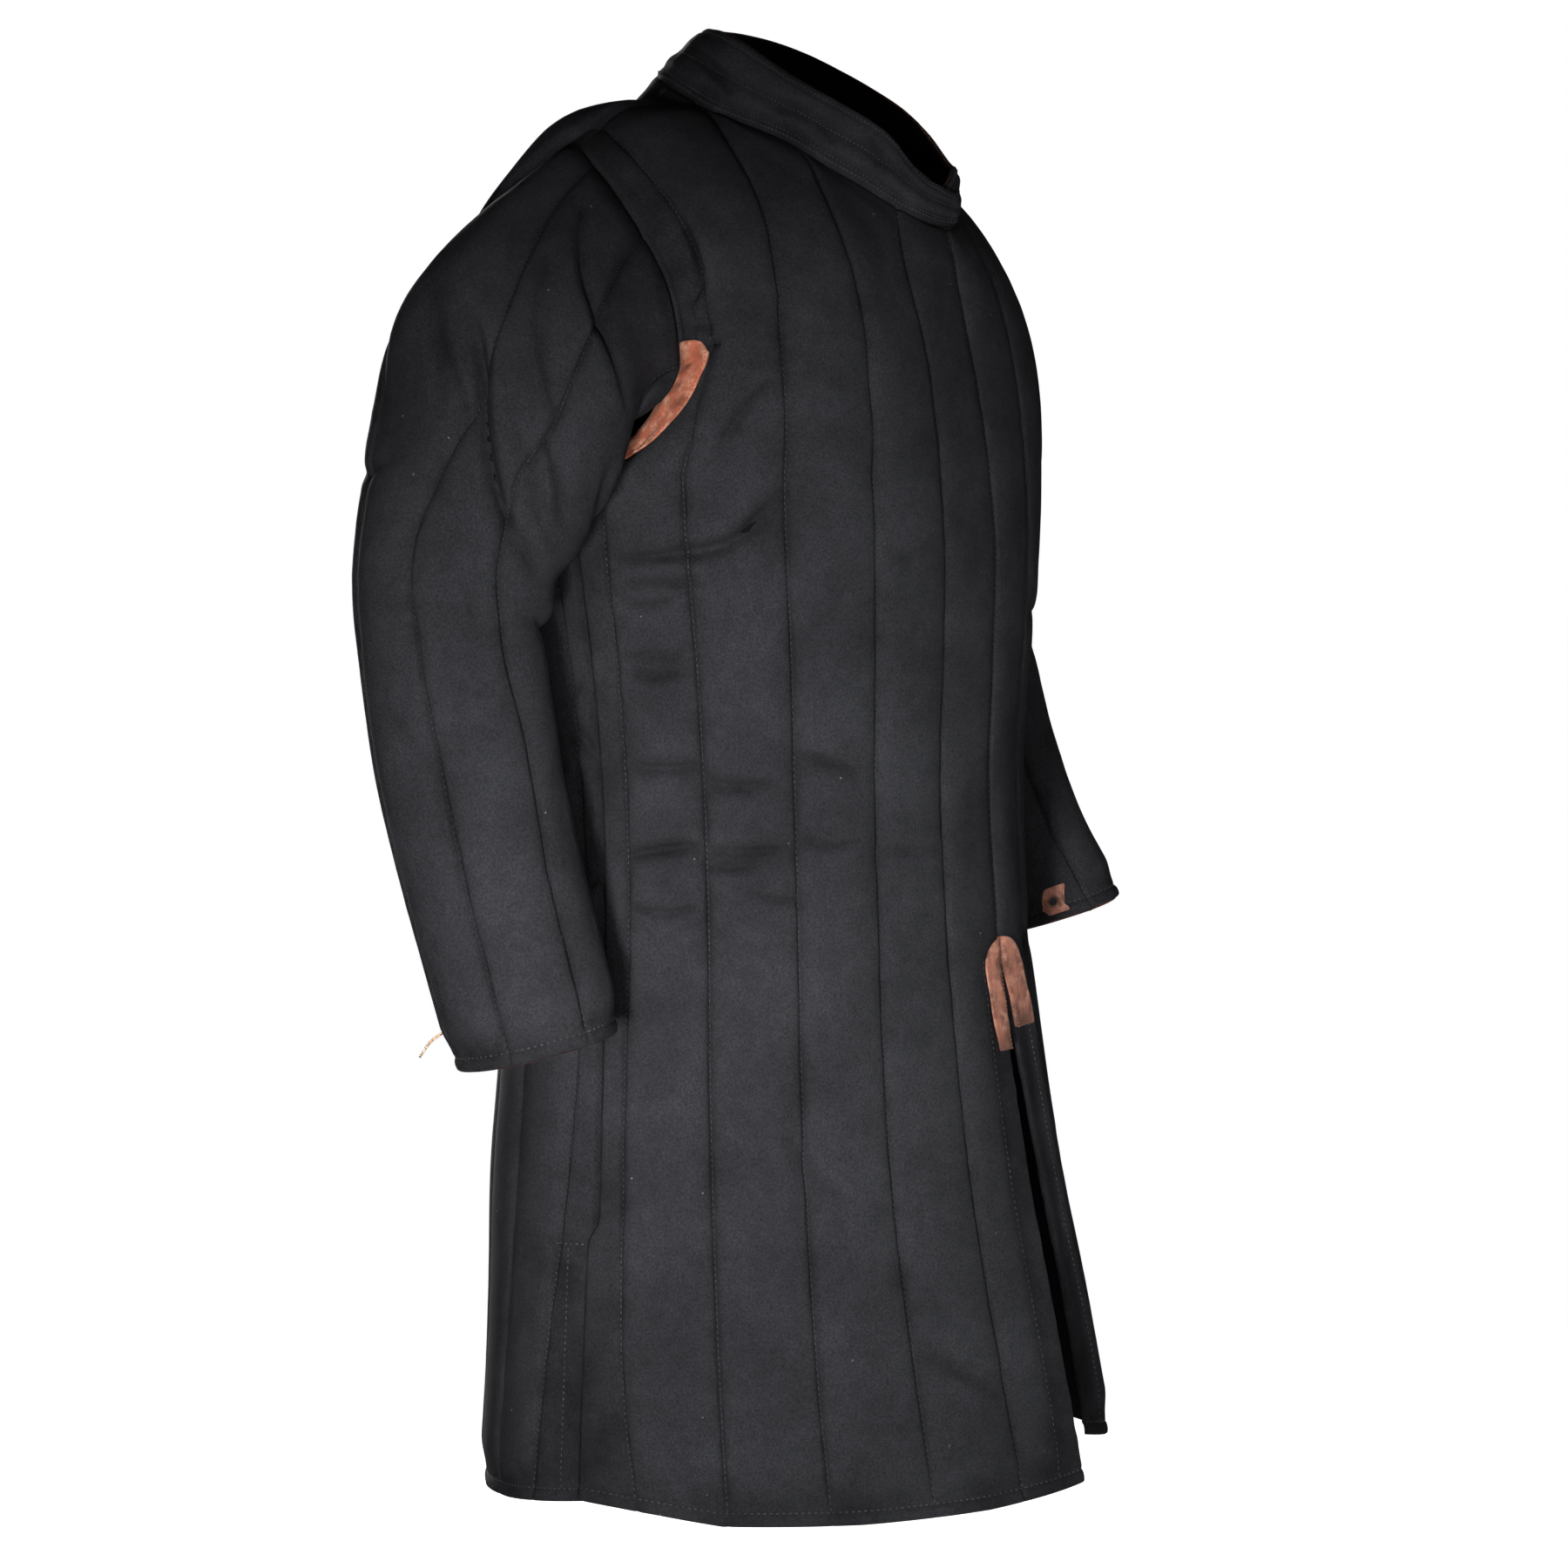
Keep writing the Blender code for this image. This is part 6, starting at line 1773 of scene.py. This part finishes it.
class GAMBESON_OT_fronts(bpy.types.Operator):
    """Make the two fronts, quilted in channels from hem to shoulder, with their sewing"""

    bl_idname = "gambeson.fronts"
    bl_label = "Fronts"

    def execute(self, context):
        for side in SIDES:
            surface = panel("front", side)
            surfaces["front", side] = surface
            cloth = cloth_shell(f"front_{side}_cloth", surface)
            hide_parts(f"front_{side}")
            sewn = sewing(f"front_{side}_sewing", front_lines(surface, side), finish("thread"))
            declare_cut([surface["level"]])
        return {"FINISHED"}


class GAMBESON_OT_back(bpy.types.Operator):
    """Make the back in one piece, with its sewing and the stitched edges of the side vents"""

    bl_idname = "gambeson.back"
    bl_label = "Back"

    def execute(self, context):
        halves = [panel("back", side) for side in SIDES]
        lines = []
        for half in halves:
            lines += back_lines(half)
        middle = halves[0]["outer"][:, 0] * 0.5 + halves[1]["outer"][:, 0] * 0.5
        hem = row_at(halves[0], HEM_BAND)
        lines.append((middle[hem:-2], halves[0]["normals"][hem:-2, 0]))
        whole = {}
        for key in ("outer", "inner", "normals", "raised", "level"):
            right, left = halves[0][key][:, ::-1], halves[1][key][:, 1:]
            whole[key] = np.concatenate([right, left], axis=1)
        for key in ("outer", "inner", "level"):
            k = halves[0][key].shape[1] - 1
            whole[key][:, k] = 0.5 * (halves[0][key][:, 0] + halves[1][key][:, 0])
        uv = halves[0]["uv"][:, ::-1] * np.array([-1.0, 1.0])
        whole["uv"] = np.concatenate([uv, halves[1]["uv"][:, 1:]], axis=1)
        cloth = cloth_shell("back_cloth", whole)
        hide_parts("back")
        sewn = sewing("back_sewing", lines, finish("thread"))
        declare_cut([whole["level"]])
        return {"FINISHED"}


class GAMBESON_OT_sleeves(bpy.types.Operator):
    """Make the two sleeves, bent as if worn, with their sewing and the edging of the cuffs"""

    bl_idname = "gambeson.sleeves"
    bl_label = "Sleeves"

    def execute(self, context):
        for side in SIDES:
            surface = sleeve(side)
            surfaces["sleeve", side] = surface
            cloth = cloth_shell(f"sleeve_{side}_cloth", surface, True)
            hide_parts(f"sleeve_{side}")
            sewn = sewing(f"sleeve_{side}_sewing", sleeve_lines(surface), finish("thread"))
            edge = surface["outer"][-1, :-1:2] - 0.9 * WALL * surface["normals"][-1, :-1:2]
            cord = trim(f"cuff_edging_{side}", edge, 1.0, finish("edging"), True)
            declare_cut([surface["level"]])
        return {"FINISHED"}


class GAMBESON_OT_collar(bpy.types.Operator):
    """Make the standing collar, its right end lapped over the left, with its sewing and edging"""

    bl_idname = "gambeson.collar"
    bl_label = "Collar"

    def execute(self, context):
        surface = collar()
        cloth = cloth_shell("collar_cloth", surface)
        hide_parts("collar")
        sewn = sewing("collar_sewing", collar_lines(surface), finish("thread"), share=COLLAR_STITCH)
        edge = 0.25 * surface["outer"][-1, ::INNER_STEP][1:-1] + 0.75 * surface["inner"][-1, 1:-1]
        cord = trim("collar_edging", edge, 0.8, finish("edging"), False)
        declare_cut([surface["level"]])
        return {"FINISHED"}


class GAMBESON_OT_slit_leather(bpy.types.Operator):
    """Lay the forked suede patch over the top of the front slit, a leg down each edge"""

    bl_idname = "gambeson.slit_leather"
    bl_label = "Slit leather"

    def execute(self, context):
        finders = []
        for side in SIDES:
            surface = surfaces["front", side]
            outer, n = surface["outer"][::-1], surface["normals"][::-1]
            finders.append(chart(outer, n, int(np.argmin(np.abs(outer[:, 0, 2] - SLIT_TOP_Z)))))
        turns = np.radians(np.linspace(8.0, 90.0, 12))
        down = np.linspace(0.0, 1.0, 25)[1:]
        share = np.linspace(0.0, 1.0, 9)
        grids, stains, lines = [], [], []
        rise = LEATHER_LIFT + 0.5 * LEATHER
        for k, (find, side) in enumerate(zip(finders, SIDES)):
            leg, width, foot = SLIT_LEGS[side]
            a = np.concatenate([-SLIT_HEAD * np.cos(turns), leg * down])
            reach = np.concatenate([width * np.sin(turns), width * (1 - (1 - foot) * down**1.5)])
            reach = reach + hand_cut(a, 0.0006, 190.0, 1.0, -0.01)
            b = LEATHER_INSET + (reach[:, None] - LEATHER_INSET) * share[None, :]
            b = np.where((share[None, :] == 0.0) & (a[:, None] <= 0.0), 0.0, b)
            points, n = find(a[:, None], b)
            other, m = finders[1 - k](a, 0.0)
            joined = a <= 0.0
            n[joined, 0] = unit(n[joined, 0] + m[joined])
            points[joined, 0] = 0.5 * (points[joined, 0] + other[joined])
            dirt = 0.75 * pressed(a, leg, 0.014)[:, None] * np.ones((1, len(share)))
            dirt = dirt + 0.5 * pressed(a[:, None], 0.006, 0.007) * pressed(share[None, :], 0.1, 0.4)
            grid, dirt = facing_out(points + n * rise, n, dirt)
            grids.append(grid)
            stains.append(dirt)
            lines.append(on_suede(find, a[1:-1], np.maximum(reach[1:-1] - SLIT_SEWING[0], 0.0015)))
            lines.append(on_suede(find, a[a > 0.004], SLIT_SEWING[1]))
        piece = leather_sheet("slit_suede", grids, finish("dark suede"), stains)
        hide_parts("slit_leather")
        sewn = suede_sewing("slit_suede_sewing", lines)
        declare_cut(grids)
        return {"FINISHED"}


class GAMBESON_OT_armpit_leathers(bpy.types.Operator):
    """Lay a suede tongue on each front, down the free edge of the armpit opening"""

    bl_idname = "gambeson.armpit_leathers"
    bl_label = "Armpit leathers"

    def execute(self, context):
        top, foot = ARMPIT_LEATHER[0][0], ARMPIT_LEATHER[-1][0]
        a = np.concatenate([np.linspace(top, -0.01, 8), np.linspace(-0.008, foot, 44)])
        start, end = np.moveaxis(table(ARMPIT_LEATHER, a), -1, 0)
        end = end + hand_cut(a, 0.0007, 160.0, 0.6, -0.008)
        share = np.linspace(0.0, 1.0, 13)
        b = ARMPIT_OVERHANG + start[:, None] + (end - start)[:, None] * share[None, :]
        for side in SIDES:
            surface = surfaces["front", side]
            under, free = surface["under"], surface["free"]
            outer, n = (surface[key][under:][::-1, ::-1] for key in ("outer", "normals"))
            find = chart(*past_edge(outer, n, ARMPIT_OVERHANG), len(outer) - 1 - (free - under))
            points, m = find(a[:, None], b)
            spots, hollow = np.zeros_like(b), np.zeros_like(b)
            for at, in_from, size, deep in ARMPIT_MARKS:
                mark = pressed(np.hypot(a[:, None] - at, (b - ARMPIT_OVERHANG - in_from) * 1.5), 0.0, size)
                spots = np.maximum(spots, deep * mark)
                hollow = np.maximum(hollow, mark * (deep > 0.9))
            grid = points + m * (TONGUE_LIFT + 0.5 * LEATHER) - m * (0.0006 * hollow)[..., None]
            grid, spots = facing_out(grid, m, spots)
            piece = leather_sheet(f"armpit_suede_{side}", [grid], finish("suede"), [spots])
            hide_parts(f"armpit_leather_{side}")
            insets = end - ARMPIT_SEWING[1], start + ARMPIT_SEWING[0]
            lines = [on_suede(find, a[1:-1], ARMPIT_OVERHANG + at[1:-1], TONGUE_LIFT) for at in insets]
            sewn = suede_sewing(f"armpit_suede_sewing_{side}", lines)
            declare_cut([grid])
        return {"FINISHED"}


def cuff_chart(side):
    """Points near a cuff by distance up from its edge and round it, on the side toward the body."""
    surface = surfaces["sleeve", side]
    ratio = surface["segments"] // COARSE
    medial = slice((PATCH_COLUMN - 5) * ratio, (PATCH_COLUMN + 5) * ratio + 1)
    outer, n = surface["outer"][::-1][:40, medial], surface["normals"][::-1][:40, medial]
    return chart(outer, n, 0), lengths(outer[0])[5 * ratio]


class GAMBESON_OT_cuff_leathers(bpy.types.Operator):
    """Lay a small suede patch with an eyelet on each cuff, on the side toward the body"""

    bl_idname = "gambeson.cuff_leathers"
    bl_label = "Cuff leathers"

    def execute(self, context):
        turns = np.linspace(0.0, 2.0 * math.pi, 48, endpoint=False)
        edge = 2.0 * np.maximum(np.abs(np.cos(turns)) / PATCH_LENGTH, np.abs(np.sin(turns)) / PATCH_WIDTH)
        share = np.linspace(0.0, 1.0, 8)[:, None]
        radii = EYELET_RADIUS + (PATCH_SHARE / edge - EYELET_RADIUS)[None, :] * share
        inner = PATCH_SHARE / edge - PATCH_SEWING
        for side in SIDES:
            find, around = cuff_chart(side)
            points, n = find(PATCH_FROM_CUFF + radii * np.cos(turns), around + radii * np.sin(turns))
            dirt = 0.85 * pressed(radii, EYELET_RADIUS, 0.0022)
            grid, dirt = facing_out(points + n * (LEATHER_LIFT + 0.5 * LEATHER), n, dirt)
            piece = leather_sheet(f"cuff_suede_{side}", [grid], finish("dark suede"), [dirt], True)
            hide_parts(f"cuff_leather_{side}")
            line = on_suede(find, PATCH_FROM_CUFF + inner * np.cos(turns), around + inner * np.sin(turns))
            sewn = suede_sewing(f"cuff_suede_sewing_{side}", [[round_again(part) for part in line]])
        return {"FINISHED"}


class GAMBESON_OT_lace(bpy.types.Operator):
    """Run the pale leather lace from the right cuff's eyelet round the back of the cuff"""

    bl_idname = "gambeson.lace"
    bl_label = "Lace"

    def execute(self, context):
        find, around = cuff_chart("right")
        hole, out = find(PATCH_FROM_CUFF, around)
        start = [hole + out * step for step in (0.0016, 0.0045, 0.0065)]
        path = dense(start + [np.array(p) for p in LACE_PATH], 36)
        toward = unit(np.gradient(path, axis=0))
        broad = unit(np.cross(toward, np.array([0.2, 0.1, 1.0])))
        thin = np.cross(toward, broad)
        along = lengths(path) / lengths(path)[-1]
        taper = 1.0 - LACE_TAPER * smooth((along - LACE_TAPER_FROM) / (1.0 - LACE_TAPER_FROM))
        turns = np.linspace(0.0, 2.0 * math.pi, 12, endpoint=False)
        wide = np.sign(np.cos(turns)) * np.abs(np.cos(turns)) ** 0.6 * 0.5 * LACE_WIDTH
        deep = np.sign(np.sin(turns)) * np.abs(np.sin(turns)) ** 0.8 * 0.5 * LACE_THICKNESS
        across = wide[None, :, None] * broad[:, None] * taper[:, None, None]
        across = across + deep[None, :, None] * thin[:, None] * (0.5 + 0.5 * taper[:, None, None])
        piece = tube("cuff_lace", path[:, None] + across, finish("lace"))
        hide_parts("cuff_lace_right")
        tuple(path[0])
        lengths(path)[-1]
        [tuple(p) for p in path]
        return {"FINISHED"}


class GAMBESON_OT_studio(bpy.types.Operator):
    """Set a plain pale floor, soft even light and a camera at the garment's right front"""

    bl_idname = "gambeson.studio"
    bl_label = "Studio"

    def execute(self, context):
        turn = np.linspace(0.0, 2.0 * math.pi, FLOOR_SIDES, endpoint=False)
        radii = np.array(FLOOR_RADII)[:, None]
        x, y = radii * np.cos(turn), radii * np.sin(turn)
        rings = np.stack([x, y, np.full_like(x, FLOOR_Z)], -1)
        index = round_again(np.arange(x.size).reshape(x.shape), 1)
        faces = quads(index)[:, [0, 3, 2, 1]].tolist() + [list(range(FLOOR_SIDES))]
        mesh = bpy.data.meshes.new("floor")
        mesh.from_pydata(rings.reshape(-1, 3).tolist(), [], faces)
        floor = bpy.data.objects.new("floor", mesh)
        context.scene.collection.objects.link(floor)
        # Seamless paper, matt and faintly uneven, that glows white to the camera alone.
        paper, tree, shader = new_finish("matt white paper", Roughness=0.9, Specular_IOR_Level=0.1)
        base = mix(tree, noise(tree, 3.0, 2.0), *(linear(shade) for shade in PAPER))
        tree.links.new(base, shader.inputs["Base Color"])
        shader.inputs["Emission Color"].default_value = (1.0, 1.0, 1.0, 1.0)
        tree.links.new(camera_only(tree, 0.0, FLOOR_GLOW), shader.inputs["Emission Strength"])
        mesh.materials.append(paper)

        world = bpy.data.worlds.new("even white studio")
        world.use_nodes = True
        context.scene.world = world
        tree = world.node_tree
        sky = tree.nodes["Background"]
        tree.links.new(camera_only(tree, AMBIENT, 1.0), sky.inputs["Strength"])
        sky.inputs["Color"].default_value = (1.0, 1.0, 1.0, 1.0)

        context.scene.view_settings.view_transform = "Standard"
        for name, place, at, size, spread, power in LAMPS:
            lamp = bpy.data.lights.new(name, "AREA")
            lamp.shape = "DISK"
            lamp.size = size
            lamp.spread = math.radians(spread)
            lamp.energy = power
            holder = bpy.data.objects.new(name, lamp)
            holder.matrix_world = aimed(np.array(place), np.array(at))
            context.scene.collection.objects.link(holder)

        lens = bpy.data.cameras.new("camera")
        lens.sensor_width = 36.0
        lens.lens = CAMERA_LENS
        lens.shift_x = CAMERA_SHIFT
        lens.clip_end = 100.0
        camera = bpy.data.objects.new("camera", lens)
        camera.matrix_world = aimed(np.array(CAMERA_PLACE), np.array(CAMERA_TARGET))
        context.scene.collection.objects.link(camera)
        context.scene.camera = camera
        return {"FINISHED"}


def aimed(place, target):
    """Where a camera or lamp stands and how it is turned, to look from place at target."""
    back = unit(place - target)
    right = unit(np.cross(np.array([0.0, 0.0, 1.0]), back))
    up = np.cross(back, right)
    matrix = np.eye(4)
    matrix[:3, 0], matrix[:3, 1], matrix[:3, 2], matrix[:3, 3] = right, up, back, place
    return Matrix(matrix.tolist())


# ---------------------------------------------------------------- the panel in the sidebar
OPERATORS = (
    GAMBESON_OT_fronts,
    GAMBESON_OT_back,
    GAMBESON_OT_sleeves,
    GAMBESON_OT_collar,
    GAMBESON_OT_slit_leather,
    GAMBESON_OT_armpit_leathers,
    GAMBESON_OT_cuff_leathers,
    GAMBESON_OT_lace,
    GAMBESON_OT_studio,
)


class GAMBESON_PT_sidebar(bpy.types.Panel):
    """Lists the gambeson's pieces, sizes and colours"""

    bl_idname = "GAMBESON_PT_sidebar"
    bl_label = "Gambeson"
    bl_space_type = "VIEW_3D"
    bl_region_type = "UI"
    bl_category = "Gambeson"

    def draw(self, context):
        for operator in OPERATORS:
            self.layout.operator(operator.bl_idname)
        for group in (context.scene.gambeson_sizes, context.scene.gambeson_colours):
            for key in group.bl_rna.properties.keys():
                if key not in ("rna_type", "name"):
                    self.layout.prop(group, key)


CLASSES = (GambesonColours, GambesonSizes, *OPERATORS, GAMBESON_PT_sidebar)


def register():
    for each in CLASSES:
        bpy.utils.register_class(each)
    bpy.types.Scene.gambeson_colours = bpy.props.PointerProperty(type=GambesonColours)
    bpy.types.Scene.gambeson_sizes = bpy.props.PointerProperty(type=GambesonSizes)


def unregister():
    del bpy.types.Scene.gambeson_sizes
    del bpy.types.Scene.gambeson_colours
    for each in reversed(CLASSES):
        bpy.utils.unregister_class(each)


def main():
    register()
    for operator in OPERATORS:
        group, name = operator.bl_idname.split(".")
        getattr(getattr(bpy.ops, group), name)()


if __name__ == "__main__":
    main()
